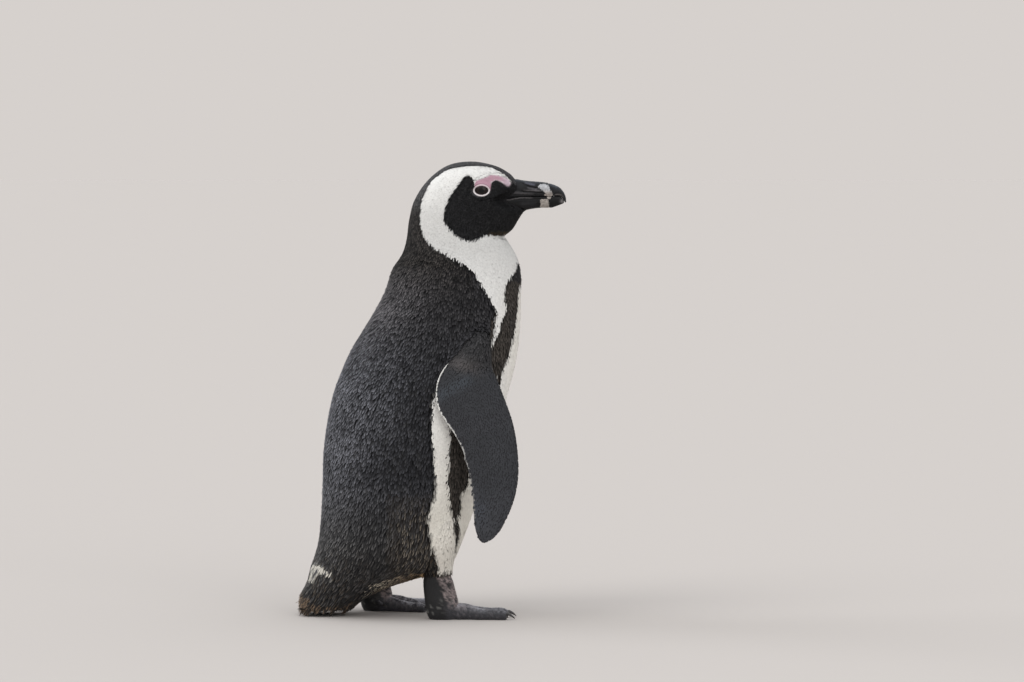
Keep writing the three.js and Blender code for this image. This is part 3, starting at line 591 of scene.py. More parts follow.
OV, OT, O_d, O_bare, O_rosy = orbit_sheet()
n0 = len(SV)
OVL = OV * [-1, 1, 1]
SV = np.concatenate([SV, OV, OVL])
ST = np.concatenate([ST, OT + n0, OT[:, ::-1] + n0 + len(OV)])
lid_d = np.concatenate([np.full(n0, 99.0), O_d, O_d])
lid_bare = np.concatenate([np.zeros(n0), O_bare, O_bare])
lid_rosy = np.concatenate([np.zeros(n0), O_rosy, O_rosy])
skin_tree = bvh(SV, ST)
print("skin", len(SV), len(ST), round(time.time() - T0, 1))


# ---------------------------------------------------------------- markings
BLACK, WHITE, PINKISH, FLIPPER_OUT, FLIPPER_IN, SPOT, CREAM = range(7)


def body_region(p, n):
    """Which marking a point of the head or body has."""
    u, v = side_uv(p)
    j = value_noise(p, 2.2, 11) * .9
    u, v = u + j, v + j * .5
    reg = np.full(len(p), BLACK)
    white = inside(P_COLLAR, u, v) & ~inside(MASK, u, v)
    white |= inside(P_BELLY, u, v) | inside(P_STRIPE, u, v)
    white |= (p[:, 0] < 0) & (p[:, 2] < 124) & (p[:, 1] > 30) & (p[:, 0] + j * 1.5 > -43 + .5 * (p[:, 2] - 109))
    reg[white] = WHITE
    reg[inside(RUMP_SPOT, u, v) & (np.abs(p[:, 0]) > 12)] = SPOT
    under = (n[:, 2] < -.965) & (p[:, 2] < 60) & (np.abs(p[:, 0]) < 44)
    reg[under & (p[:, 1] > -62 + 5 * value_noise(p, 9, 5))] = CREAM
    reg[inside(PINK, u, v) & (p[:, 2] > 430)] = PINKISH
    return reg


def leg_region(p, side):
    """Legs carry the same flank marking, at each leg's own place."""
    q = p.copy()
    q[:, 1] = p[:, 1] - leg_shift(side, p[:, 2]) + 28.5
    u, v = side_uv(q)
    j = value_noise(p, 2.2, 12) * 1.0
    back = np.interp(v, [0, 42, 58, 73, 94, 120], [34, 25, 22, 17, 13, 20])
    reg = np.where(u + j > back, WHITE, BLACK)
    b0 = np.interp(v, [66, 68, 82, 89, 99, 110, 120], [43.4, 43, 42, 39.9, 39.4, 37.8, 35.7])
    b1 = np.interp(v, [66, 73, 84, 91, 99, 107, 113, 120], [43.6, 44, 45.1, 46.1, 47.2, 46.2, 47.2, 48.3])
    reg[(v > 66) & (u + j > b0 - .3) & (u + j < b1 + .3)] = BLACK
    inner_side = (p[:, 0] * side) < STANCE - 12
    in_band = (v > 66) & (u + j > b0 - .3) & (u + j < b1 + .3)
    reg[inner_side & (u + j > back - 12) & ~in_band] = CREAM
    return reg


# --------------------------------------------------------------- materials
def material(name):
    m = bpy.data.materials.new(name)
    m.use_nodes = True
    nt = m.node_tree
    return m, nt, nt.nodes["Principled BSDF"]


def node(nt, kind, **inputs):
    n = nt.nodes.new(kind)
    for k, v in inputs.items():
        n.inputs[k.replace("_", " ")].default_value = v
    return n


def speckled(name, attr, size, amount, rough, spec, bump=.0, bump_size=None, coat=0.0, sheen=0.0, detail=3.0, kind="noise", rough_amount=.08):
    """Colour from the painted attribute, varied by noise; roughness and bump from the same pattern."""
    m, nt, bsdf = material(name)
    L = nt.links
    col = nt.nodes.new("ShaderNodeAttribute")
    col.attribute_name = attr
    tc = nt.nodes.new("ShaderNodeTexCoord")
    ns = node(nt, "ShaderNodeTexNoise", Scale=1 / size, Detail=detail, Roughness=.6)
    L.new(tc.outputs["Object"], ns.inputs["Vector"])
    mr = node(nt, "ShaderNodeMapRange", From_Min=.3, From_Max=.7, To_Min=1 - amount, To_Max=1 + amount)
    L.new(ns.outputs["Fac"], mr.inputs["Value"])
    mix = nt.nodes.new("ShaderNodeVectorMath")
    mix.operation = "SCALE"
    L.new(col.outputs["Color"], mix.inputs[0])
    L.new(mr.outputs["Result"], mix.inputs["Scale"])
    L.new(mix.outputs["Vector"], bsdf.inputs["Base Color"])
    rr = node(nt, "ShaderNodeMapRange", From_Min=.3, From_Max=.7, To_Min=rough - rough_amount, To_Max=rough + rough_amount)
    L.new(ns.outputs["Fac"], rr.inputs["Value"])
    L.new(rr.outputs["Result"], bsdf.inputs["Roughness"])
    bsdf.inputs["Specular IOR Level"].default_value = spec
    bsdf.inputs["Coat Weight"].default_value = coat
    bsdf.inputs["Coat Roughness"].default_value = .12
    if sheen:
        bsdf.inputs["Sheen Weight"].default_value = sheen
        bsdf.inputs["Sheen Roughness"].default_value = .45
    if bump:
        if kind == "voronoi":
            b = node(nt, "ShaderNodeTexVoronoi", Scale=1 / bump_size)
            b.feature = "DISTANCE_TO_EDGE"
            out = b.outputs["Distance"]
        else:
            b = node(nt, "ShaderNodeTexNoise", Scale=1 / bump_size, Detail=4, Roughness=.65)
            out = b.outputs["Fac"]
        L.new(tc.outputs["Object"], b.inputs["Vector"])
        bp = node(nt, "ShaderNodeBump", Strength=.6, Distance=bump)
        L.new(out, bp.inputs["Height"])
        L.new(bp.outputs["Normal"], bsdf.inputs["Normal"])
    return m


MAT_COAT = speckled("feather", "Col", .0022, .07, .72, .10, bump=.00008, bump_size=.0006)
MAT_FLIPPER = speckled("flipper_feather", "Col", .004, .14, .62, .14, bump=.00008, bump_size=.0008)
MAT_SKIN = speckled("under_coat", "Col", .002, .12, .8, .2, bump=.0003, bump_size=.0009)
MAT_BARE = speckled("bare_skin", "Col", .0018, .10, .5, .4, bump=.00012, bump_size=.00055, kind="voronoi")
MAT_FOOT = speckled("foot_skin", "Col", .0016, .34, .50, .32, bump=.00018, bump_size=.0011, kind="voronoi")
MAT_HORN = speckled("horn", "Col", .0022, .16, .42, .17, bump=.00006, bump_size=.0007, rough_amount=.1)
MAT_CLAW = speckled("claw", "Col", .0016, .16, .38, .5, bump=.00005, bump_size=.0005)
MAT_EYE = speckled("eye", "Col", .0006, .18, .08, .20, rough_amount=.03)

# ------------------------------------------------------------ skin: colour
def vertex_normals(V, T):
    n = np.cross(V[T[:, 1]] - V[T[:, 0]], V[T[:, 2]] - V[T[:, 0]])
    out = np.stack([np.bincount(T.ravel(), np.repeat(n[:, c], 3), len(V)) for c in range(3)], 1)
    return unit(out)


SN = vertex_normals(SV, ST)
C_BLACK = np.array([.009, .009, .010])
C_WHITE = np.array([.62, .61, .59])
reg = body_region(SV, SN)
col = np.tile(C_BLACK, (len(SV), 1))
col[reg == WHITE] = C_WHITE
col[reg == SPOT] = C_WHITE
col[reg == CREAM] = C_WHITE * [.9, .84, .68]
on_flipper = np.zeros(len(SV), bool)
on_leg = np.zeros(len(SV), int)
fl_in = np.zeros(len(SV), bool)
cand = np.nonzero((SV[:, 2] > 80) & (SV[:, 2] < 305) & (np.abs(SV[:, 0]) > 58))[0]
for side, (V, T) in ((-1, parts[0]), (1, parts[1])):
    c2 = cand[SV[cand, 0] * side > 0]
    dfl = near_tree(V, T, SV[c2], 1.2)
    on_flipper[c2[(dfl < .25) & (soft[c2] < .4)]] = True
fl_in = on_flipper & (SN[:, 0] * np.sign(SV[:, 0]) < -.15)
col[on_flipper] = [.03, .03, .034]
col[fl_in] = [.34, .32, .30]
leg_zone = (SV[:, 2] < 60) & (np.abs(np.abs(SV[:, 0]) - STANCE) < 34)
foot = np.zeros(len(SV), bool)
for side, k in ((-1, 2), (1, 9)):
    c2 = np.nonzero(leg_zone & (SV[:, 0] * side > 0) & (SV[:, 2] < 60))[0]
    rel = SV[c2, 1] - ANKLE[side]
    ok = c2[(rel > -24) & (rel < 90) & ((SV[c2, 2] < 24) | (rel < 24))]
    if side == 1:
        ok = ok[(SV[ok, 2] < 20) | (SV[ok, 1] > -66)]
    d1 = np.full(len(ok), 1e9)
    for V, T in parts[k:k + 7]:
        d1 = np.minimum(d1, near_tree(V, T, SV[ok], 1.0))
    foot[ok[(d1 < .35) & (SV[ok, 2] < 47)]] = True
n1 = value_noise(SV, 3.0, 21) * .45 + value_noise(SV, 1.3, 22) * .6 + value_noise(SV, 9, 23) * .25
z = SV[:, 2]
rel = SV[:, 1] - np.where(SV[:, 0] < 0, ANKLE[-1], ANKLE[1])
dark = np.array([.010, .010, .011])
mott = np.array([.235, .190, .186])
painted_highlight_grey = np.array([.215, .215, .240])
front = step(-5.2 + .40 * (41 - z), -2.4 + .40 * (41 - z), rel + 1.9 * n1) * step(9, 16, z) * (1 - step(44, 50, z))
n2 = value_noise(SV, 2.1, 24) * .7 + value_noise(SV, .9, 25) * .5
patch = np.clip(front * (.42 + 1.15 * n1 + .25 * n2), 0, 1)
# painted highlight: the upward-facing tops of the toes turn a lighter grey, standing in for the sky's reflection on the
# wet skin
painted_toe_highlight = np.clip((SN[:, 2] - .12) * 1.3, 0, 1) * (1 - step(15, 24, z)) * np.clip(.50 + 1.0 * n1, 0, 1) * step(-8, 6, rel)
toe_side = step(0, 8, rel) * (1 - step(15, 22, z))
# painted light: the far foot's colours, its highlight grey too, are made half again lighter to offset the shade the
# body casts on it
far_foot_painted_light = np.where(SV[:, 0] > 0, 1.0, 0.0)
fc = dark + (np.array([.030, .030, .035]) - dark) * toe_side[:, None]
fc = fc + (np.array([.098, .090, .098]) - fc) * (np.clip(toe_side * (.8 * n2 - .02), 0, .8))[:, None]
fc = fc + (mott * (1 + .5 * step(36, 43, z)[:, None]) - fc) * patch[:, None]
fc = fc + (painted_highlight_grey * (1 + .5 * far_foot_painted_light[:, None]) - fc) * (painted_toe_highlight * .85)[:, None]
# painted light: the far foot lightened against its shade
fc = fc * (1 + .5 * far_foot_painted_light[:, None])
heel_spot = np.clip((value_noise(SV, 2.6, 26) - .38) * 3, 0, 1) * (1 - toe_side) * (1 - step(18, 26, z))
fc = fc + (np.array([.115, .115, .110]) - fc) * (heel_spot * .75)[:, None]
col[foot] = fc[foot]
for side, k in ((-1, 2), (1, 9)):
    c2 = np.nonzero((SV[:, 2] > 46.5) & (SV[:, 2] < 125) & (SV[:, 0] * side > 8))[0]
    c2 = c2[near_tree(*parts[k], SV[c2], 1.0) < .3]
    lr = leg_region(SV[c2], side)
    col[c2] = np.where((lr == WHITE)[:, None], C_WHITE, np.where((lr == CREAM)[:, None], C_WHITE * [.9, .84, .68], C_BLACK))
orb = lid_d < 90
pink = np.array([.36, .205, .255]) * (1 + .14 * n1[:, None])
pale = np.array([.70, .655, .665])
ring = (1 - step(1.55, 2.1, lid_d)) * (1 - .45 * step(EYE_Z + 1, EYE_Z + 4.5, SV[:, 2]))
tip_pale = step(86, 97, SV[:, 1])
pk = pink + (np.array([.42, .33, .38]) * (1 + .2 * n1[:, None]) - pink) * tip_pale[:, None]
faded = (1 - step(.55, .98, lid_rosy + .25 * n1)) * step(EYE_Z + 5, EYE_Z + 8, SV[:, 2])
pk = pk + (np.array([.60, .53, .55]) - pk) * (faded * .75)[:, None]
pk = np.array([.012, .011, .012]) + (pk - .012) * step(.3, .7, lid_rosy)[:, None]
pk = pk + (pale - pk) * ring[:, None]
# painted shade in the fold just outside the pale ring
pk = pk * (1 - .35 * np.exp(-((lid_d - 1.95) / .3) ** 2))[:, None]
margin = 1 - step(-.2, .5, lid_d)
pk = pk + (np.array([.10, .07, .07]) - pk) * margin[:, None]
base_o = col.copy()
col = np.where(orb[:, None], base_o + (pk - base_o) * step(.35, .65, lid_bare)[:, None], col)

me = bpy.data.meshes.new("skin")
tmp = make_object("skin_tmp", SV, ST)
skin.data = tmp.data
bpy.data.objects.remove(tmp)
bpy.data.meshes.remove(me)
bpy.data.meshes.remove(old)
bpy.data.meshes.remove(joined)
skin.data.name = "skin"
for m in (MAT_SKIN, MAT_BARE, MAT_FOOT):
    skin.data.materials.append(m)
fm = np.zeros(len(ST), np.int32)
fm[orb[ST[:, 0]]] = 1
fm[foot[ST].sum(1) >= 2] = 2
skin.data.polygons.foreach_set("material_index", fm)
colour_attribute(skin.data, col)
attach(skin, "root")
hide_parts("head", "neck", "trunk", "tail", "flipper_right", "flipper_left", "leg_right", "leg_left", "foot_right", "foot_left")
print("skin coloured", round(time.time() - T0, 1))


# -------------------------------------------------------------------- eyes
def build_eye(side, name):
    NA, NR = 96, 44
    th = np.linspace(0, math.pi, NR + 1)[1:-1]            # from the cornea's middle to the back
    ph = np.linspace(0, 2 * math.pi, NA, endpoint=False)
    th = math.pi * (np.linspace(0, 1, NR + 1)[1:-1]) ** 1.35
    TH, PH = np.meshgrid(th, ph, indexing="ij")
    r = EYE_R * np.sin(TH)
    lat = np.where(np.cos(TH) > 0, EYE_LAT, EYE_R) * np.cos(TH)
    P = np.stack([side * (EYE_OUT + lat), EYE_F + r * np.cos(PH), EYE_Z + r * np.sin(PH)], -1)
    V, T = grid_to_mesh(P)
    V[-2] = [side * (EYE_OUT + EYE_LAT), EYE_F, EYE_Z]
    V[-1] = [side * (EYE_OUT - EYE_R), EYE_F, EYE_Z]
    rr = np.hypot(V[:, 1] - EYE_F, V[:, 2] - EYE_Z)
    ang = np.arctan2(V[:, 2] - EYE_Z, V[:, 1] - EYE_F)
    fib = .5 + .5 * np.sin(ang * 37 + 2 * np.sin(ang * 5)) * np.sin(ang * 11)
    iris = np.array([.011, .007, .006])[None] * (.55 + .75 * fib)[:, None]
    c = np.array([.003, .003, .003]) + (iris - .003) * (step(2.5, 2.9, rr) * (1 - step(5.2, 6.0, rr)))[:, None]
    c = c + (np.array([.012, .010, .010]) - c) * step(5.6, 6.4, rr)[:, None]
    o = make_object(name, V, T)
    colour_attribute(o.data, c)
    o.data.materials.append(MAT_EYE)
    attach(o, "root")
    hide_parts("eye_right" if side < 0 else "eye_left")


build_eye(-1, "eyeball_right")
build_eye(1, "eyeball_left")


# -------------------------------------------------------------------- bill
def line_dist(f, z, pts):
    """Distance to a polyline on the bill's side, and where it is nearest."""
    p = np.asarray(pts, float)
    best, where = np.full(np.shape(f), 1e9), np.zeros(np.shape(f))
    L = np.concatenate([[0], np.cumsum(np.hypot(*np.diff(p, axis=0).T))])
    for k in range(len(p) - 1):
        d = p[k + 1] - p[k]
        t = np.clip(((f - p[k, 0]) * d[0] + (z - p[k, 1]) * d[1]) / (d @ d), 0, 1)
        q = np.hypot(f - p[k, 0] - t * d[0], z - p[k, 1] - t * d[1])
        where = np.where(q < best, (L[k] + t * math.hypot(*d)) / L[-1], where)
        best = np.minimum(best, q)
    return best, where


def taper(w):
    return np.clip(np.minimum(w, 1 - w) * 5, 0, 1) ** .7


def build_bill(upper):
    table = BILL_UPPER if upper else BILL_LOWER
    n = len(table) - 1
    s = np.concatenate([np.linspace(0, n - 2, 150, endpoint=False), np.linspace(n - 2, n, 46)])
    a = np.linspace(0, 2 * math.pi, 96, endpoint=False)
    S_, A_ = np.meshgrid(s, a, indexing="ij")
    f, lo, hi, w, nb, na = np.moveaxis(at(table, S_), -1, 0)
    c, h = (lo + hi) / 2, (hi - lo) / 2
    q = np.where(np.cos(A_) < 0, nb, na)
    x, z = w * spow(np.sin(A_), q), c + h * spow(np.cos(A_), q)
    P = np.stack([x, f, z], -1)
    du = np.zeros_like(P)
    du[1:-1] = P[2:] - P[:-2]
    du[0], du[-1] = P[1] - P[0], P[-1] - P[-2]
    dv = np.roll(P, -1, 1) - np.roll(P, 1, 1)
    nrm = unit(np.cross(dv, du))
    mid = np.stack([0 * f, f, c], -1)
    nrm *= np.where(np.einsum("...i,...i", nrm, P - mid) < 0, -1, 1)[..., None]
    lateral = np.clip(np.abs(nrm[..., 0]) * 1.6 - .2, 0, 1)
    g = np.zeros_like(f)
    pts = P.reshape(-1, 3)
    if upper:
        for line, depth, width in (
            ([(103, 444.6), (108.4, 443.4), (113.9, 442.8), (119.9, 442.6), (126, 442.0), (130.5, 441.5), (134.8, 440.6), (138, 440.8)], .95, .62),
            ([(108, 452.6), (113.9, 450.6), (117, 448.9), (121, 447.6), (125, 446.8), (130.5, 447.0)], .75, .70),
            ([(99, 439.4), (110, 439.7), (122, 440.0), (133, 439.5), (141, 439.6)], .30, .45)):
            d, t = line_dist(f, z, line)
            g -= depth * np.exp(-(d / width) ** 2) * taper(t) * lateral
            up = z - np.interp(f, [p_[0] for p_ in line], [p_[1] for p_ in line])
            g += depth * .42 * np.exp(-((up - width * 2.2) / (width * .95)) ** 2) * taper(t) * lateral * (d < 4)
        d, t = line_dist(f, z, [(107.6, 444.1), (112.4, 443.2)])      # nostril
        g -= 1.3 * np.exp(-(d / .62) ** 4) * lateral
        d, t = line_dist(f, z, [(138.6, 451.8), (140.6, 447.5), (142.6, 443.0), (144.2, 438.2)])   # step to the hook
        g -= .38 * np.exp(-(d / .5) ** 2)
        g += .22 * step(141, 145, f) * (1 - step(149, 153, f)) * np.exp(-((z - 445) / 3.5) ** 2)
        tom = np.interp(f, BILL_UPPER[:, 0], BILL_UPPER[:, 1])
        g += .30 * np.exp(-((z - tom - .7) / .6) ** 2) * lateral * step(96, 104, f)
        g -= .28 * np.exp(-((z - tom - 2.1) / .5) ** 2) * lateral * step(140, 144, f)
        k = step(120, 136, f) * (1 - step(139, 141, f))
        g += k * .10 * np.sin(f * 2 * math.pi / 1.7 + .35 * (z - 443)) * lateral
        g += .09 * np.sin(f * 2 * math.pi / 1.25 + .5 * z) * step(94, 102, f) * (1 - step(110, 124, f)) * np.clip(nrm[..., 2], 0, 1)
    else:
        for line, depth, width in (([(97, 433.2), (104, 434.1), (112, 434.8), (122, 434.9), (131, 435.2), (140, 436)], .45, .5),
                                   ([(106, 426.9), (116, 428.0), (126, 429.6), (133, 430.6)], .28, .7)):
            d, t = line_dist(f, z, line)
            g -= depth * np.exp(-(d / width) ** 2) * taper(t) * lateral
        g += .28 * np.exp(-((z - np.interp(f, [92, 98, 103, 110, 123, 150], [434.6, 434.9, 435.9, 436.9, 436.8, 437.4])) / .55) ** 2) * lateral
        d, t = line_dist(f, z, [(139.2, 439), (139.4, 432), (139.0, 425)])
        g -= .32 * np.exp(-(d / .5) ** 2)
        k = step(118, 132, f) * (1 - step(139, 141, f))
        g += k * .09 * np.sin(f * 2 * math.pi / 1.7 - .35 * z) * lateral
    g += .07 * value_noise(pts, 2.4, 31).reshape(f.shape) + .04 * value_noise(pts, .9, 32).reshape(f.shape)
    P = P + nrm * g[..., None]
    if not upper:
        top = at(BILL_UPPER, np.interp(P[..., 1], BILL_UPPER[:, 0], np.arange(len(BILL_UPPER))))[..., 1]
        P[..., 2] = np.minimum(P[..., 2], top - .03)
    V, T = grid_to_mesh(P)
    u, v = side_uv(V)
    j = value_noise(V, 1.3, 41) * .8 + value_noise(V, .55, 42) * .5
    dark = np.array([.0135, .0140, .0155]) if upper else np.array([.0055, .0055, .006])
    c = np.tile(dark, (len(V), 1)) * (1 + .3 * value_noise(V * [1, .35, 1], 1.6, 43))[:, None]
    # painted highlights: light streaks along the ridges, the culmen and the top of the hook, and a faint broad sheen on
    # the lower bill; the short pale line on the hook's cutting edge is wear
    sheen_and_wear_streaks = (([(108.4, 444.9), (113.9, 444.5), (119.9, 444.2), (125.8, 443.6), (130.8, 443.4)], .75, (.120, .114, .120)),
               ([(113, 452.2), (119, 450.9), (125, 449.7)], 1.1, (.085, .088, .112)),
               ([(116, 447.0), (121, 446.0), (127, 445.2)], .6, (.095, .092, .100)),
               ([(96.5, 440.9), (102, 441.7), (108, 441.1), (116, 440.6), (124, 440.2)], 1.0, (.066, .062, .066)),
               ([(139, 451.2), (144, 449.4), (148, 447.3)], 1.5, (.062, .070, .085)),
               ([(145.7, 439.3), (148.2, 440.0), (150.0, 439.6)], .55, (.09, .086, .083))) if upper else (
               ([(92, 434.0), (98, 434.2), (102.9, 435.4), (110.4, 436.5), (117.9, 436.3), (122.9, 436.2)], .65, (.085, .078, .080)),
               ([(108, 429.5), (118, 430), (127, 431)], 2.2, (.016, .016, .018)))
    for line, wd, rgb in sheen_and_wear_streaks:
        d, t = line_dist(u, v, line)
        c = c + (np.array(rgb) - c) * (np.exp(-((d + .5 * j) / wd) ** 2) * np.clip(np.minimum(t, 1 - t) * 6, 0, 1) ** .6 * .85)[:, None]
    # painted shade in the two grooves of the upper bill
    for line, wd in ((([(108.4, 443.2), (113.9, 442.7), (119.9, 442.6), (125.8, 442.0), (130.3, 441.4), (134.3, 440.7), (137, 440.7)], .7),
                      ([(111.5, 451.2), (116.4, 448.9), (120.4, 447.7), (124.8, 446.8), (128, 447.2)], .75)) if upper else ()):
        d, t = line_dist(u, v, line)
        c = c * (1 - .8 * np.exp(-(d / wd) ** 2) * taper(t))[:, None]
    if upper:
        band = inside([(127.6, 447.9), (129.9, 450.6), (134.8, 450.7), (138.5, 448.6), (140.5, 444.4), (142.0, 441.2), (143.6, 437.0), (138, 437.0), (134.2, 438.9), (134.9, 441.3), (131.9, 443.9), (129.6, 445.4)], u + j, v + j)
        top = (V[:, 2] > 445) & (np.abs(V[:, 0]) < 3.5)
        fac = band * (.75 + .25 * j) * (1 - .8 * top)
        bt = (np.array([.56, .57, .59]) + (np.array([.40, .36, .33]) - np.array([.56, .57, .59])) * step(446, 440, v)[:, None])
        c = c + (bt - c) * np.clip(fac, 0, 1)[:, None]
        wear = np.exp(-(line_dist(u, v, [(145.7, 439.3), (148.2, 439.9), (151.7, 439.2), (153.6, 436.6)])[0] / .8) ** 2) * (.6 + .4 * j)
        c = c + (np.array([.11, .10, .098]) - c) * np.clip(wear, 0, .7)[:, None]
        # painted sheen: the top of the upper bill turns a lighter bluish grey, less so over the pale band
        ridge = np.clip(V[:, 2] - np.interp(V[:, 1], BILL_UPPER[:, 0], BILL_UPPER[:, 2]) + 3.2, 0, 3) / 3
        c = c + (np.array([.034, .038, .046]) - c) * (ridge * .7 * (1 - .6 * step(128, 134, V[:, 1]) * (1 - step(139, 142, V[:, 1]))))[:, None]
    else:
        band = inside([(129.6, 433.9), (132.3, 435.2), (136.9, 435.0), (138.7, 432.3), (139.2, 424.5), (130.4, 424.5), (129.9, 430)], u + j, v + j)
        band |= inside([(137.0, 438.5), (142.2, 438.5), (140.4, 435.2), (137.6, 434.8)], u + j * .6, v + j * .6)
        c = c + (np.array([.37, .335, .305]) - c) * np.clip(band * (.8 + .3 * j), 0, 1)[:, None]
        wear = np.exp(-(np.hypot(u - 152.5, v - 432.6) / 1.9) ** 2) * (.8 + .5 * j)
        c = c + (np.array([.20, .19, .19]) - c) * np.clip(wear, 0, .9)[:, None]
    o = make_object("bill_horn_upper" if upper else "bill_horn_lower", V, T)
    colour_attribute(o.data, np.maximum(c, .003))
    o.data.materials.append(MAT_HORN)
    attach(o, "root")
    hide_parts("bill_upper" if upper else "bill_lower")


build_bill(True)
build_bill(False)


# ------------------------------------------------------------------- claws
def build_claw(side, name):
    if name == "hallux":
        rows = np.array([[0, 1.5, 0, 0], [0, 1.4, 0, 0], [.35, 1.25, .2, 0], [.7, .8, 1.0, 0], [1, .3, 2.2, 0]])
        s, a = np.meshgrid(np.linspace(1, 4, 26), np.linspace(0, 2 * math.pi, 20, endpoint=False), indexing="ij")
        k, r, drop, _ = np.moveaxis(at(rows, s), -1, 0)
        d = 14.0 + 5.8 * k
        x, f = hallux_place(side, d)
        P = np.stack([x + side * r * np.sin(a), f, 7.3 - drop + r * np.cos(a)], -1)
    else:
        L, _, _, tip, cl = TOES[name]
        rows = np.array([[0, 2.1, .38, .72], [.0, 2.1, .38, .72], [.25, 1.95, .40, .73], [.5, 1.6, .33, .63], [.78, 1.1, .20, .44], [1, .42, .09, .19]]) * [1, 1, tip, tip]
        s, a = np.meshgrid(np.linspace(1, 5, 44), np.linspace(0, 2 * math.pi, 28, endpoint=False), indexing="ij")
        k, w, lo, hi = np.moveaxis(at(rows, s), -1, 0)
        ridge = .12 * np.clip(np.cos(a), 0, 1) ** 3 * (1 - k) + .05 * np.sin(k * 26) * (1 - k)
        x, f = toe_place(side, name, L - .6 + k * (cl + .9), (w + ridge) * spow(np.sin(a), 2.1))
        P = np.stack([x, f, (lo + hi) / 2 + ((hi - lo) / 2 + ridge) * np.where(np.cos(a) > 0, np.cos(a), .9 * np.cos(a))], -1)
    V, T = grid_to_mesh(P)
    t = np.concatenate([np.repeat(np.linspace(0, 1, P.shape[0]), P.shape[1]), [0, 1]])
    c = np.array([.028, .026, .026]) + (np.array([.075, .062, .052]) - .027) * (step(.6, 1, t) * .6)[:, None]
    c = c * (1 + .2 * value_noise(V, 1.2, 51))[:, None]
    word = "right" if side < 0 else "left"
    o = make_object(f"nail_{word}_{name}", V, T)
    colour_attribute(o.data, c)
    o.data.materials.append(MAT_CLAW)
    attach(o, "root")
    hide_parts(f"claw_{word}_{name}")


for side in (-1, 1):
    for nm in ("inner", "middle", "outer", "hallux"):
        build_claw(side, nm)
print("bill, eyes, claws", round(time.time() - T0, 1))


# ---------------------------------------------------------------- feathers
def scatter(fn, s_rows, n_ang, spacing, seed, keep=None, over=3.6):
    """Evenly spread places on a loft, as (row, angle), spacing mm apart."""
    r = np.random.default_rng(seed)
    a = np.linspace(0, 2 * math.pi, n_ang + 1)
    P = fn(s_rows[:, None], a[None, :])
    e1, e2 = P[1:, :-1] - P[:-1, :-1], P[:-1, 1:] - P[:-1, :-1]
    area = np.linalg.norm(np.cross(e1, e2), axis=-1)
    sm = (s_rows[1:] + s_rows[:-1]) / 2
    w = area / (spacing(sm) ** 2)[:, None]
    count = int(w.sum() * over)
    flat = np.cumsum(w.ravel()) / w.sum()
    cell = np.searchsorted(flat, r.random(count))
    i, j = np.divmod(cell, n_ang)
    s = s_rows[i] + (s_rows[i + 1] - s_rows[i]) * r.random(count)
    ang = a[j] + (a[j + 1] - a[j]) * r.random(count)
    if keep is not None:
        ok = keep(s, ang)
        s, ang = s[ok], ang[ok]
    pts = fn(s, ang)
    rad = spacing(s)
    tree = kdtree.KDTree(len(pts))
    lst = pts.tolist()
    for k, p in enumerate(lst):
        tree.insert(p, k)
    tree.balance()
    gone = bytearray(len(pts))
    taken = []
    radl = rad.tolist()
    for k, p in enumerate(lst):
        if gone[k]:
            continue
        taken.append(k)
        for _, m, _ in tree.find_range(p, radl[k]):
            gone[m] = 1
    return s[taken], ang[taken]


def project(points, normal, far=4.0):
    """Nearest place on the skin and its normal; straight on where the skin has ended or turned away."""
    c, n = points.copy(), normal.copy()
    find = skin_tree.find_nearest
    for k, p in enumerate(points.tolist()):
        h = find(p, far)
        if h[0] is not None:
            q, m = h[0], h[1]
            nn = normal[k]
            if m[0] * nn[0] + m[1] * nn[1] + m[2] * nn[2] > .25:
                c[k] = q
                n[k] = m
    return c, n


# rows along a vane: place, height, half width, share of the tip colour
VANE_LONG = (np.array([.22, .50, .76, .93]), np.array([.46, .72, .90, .98]), np.array([.62, 1.0, .88, .48]), np.array([0, .12, .62, 1.0]))
VANE_SHORT = (np.array([.30, .64, .90]), np.array([.52, .82, .97]), np.array([.80, 1.0, .60]), np.array([.05, .45, 1.0]))


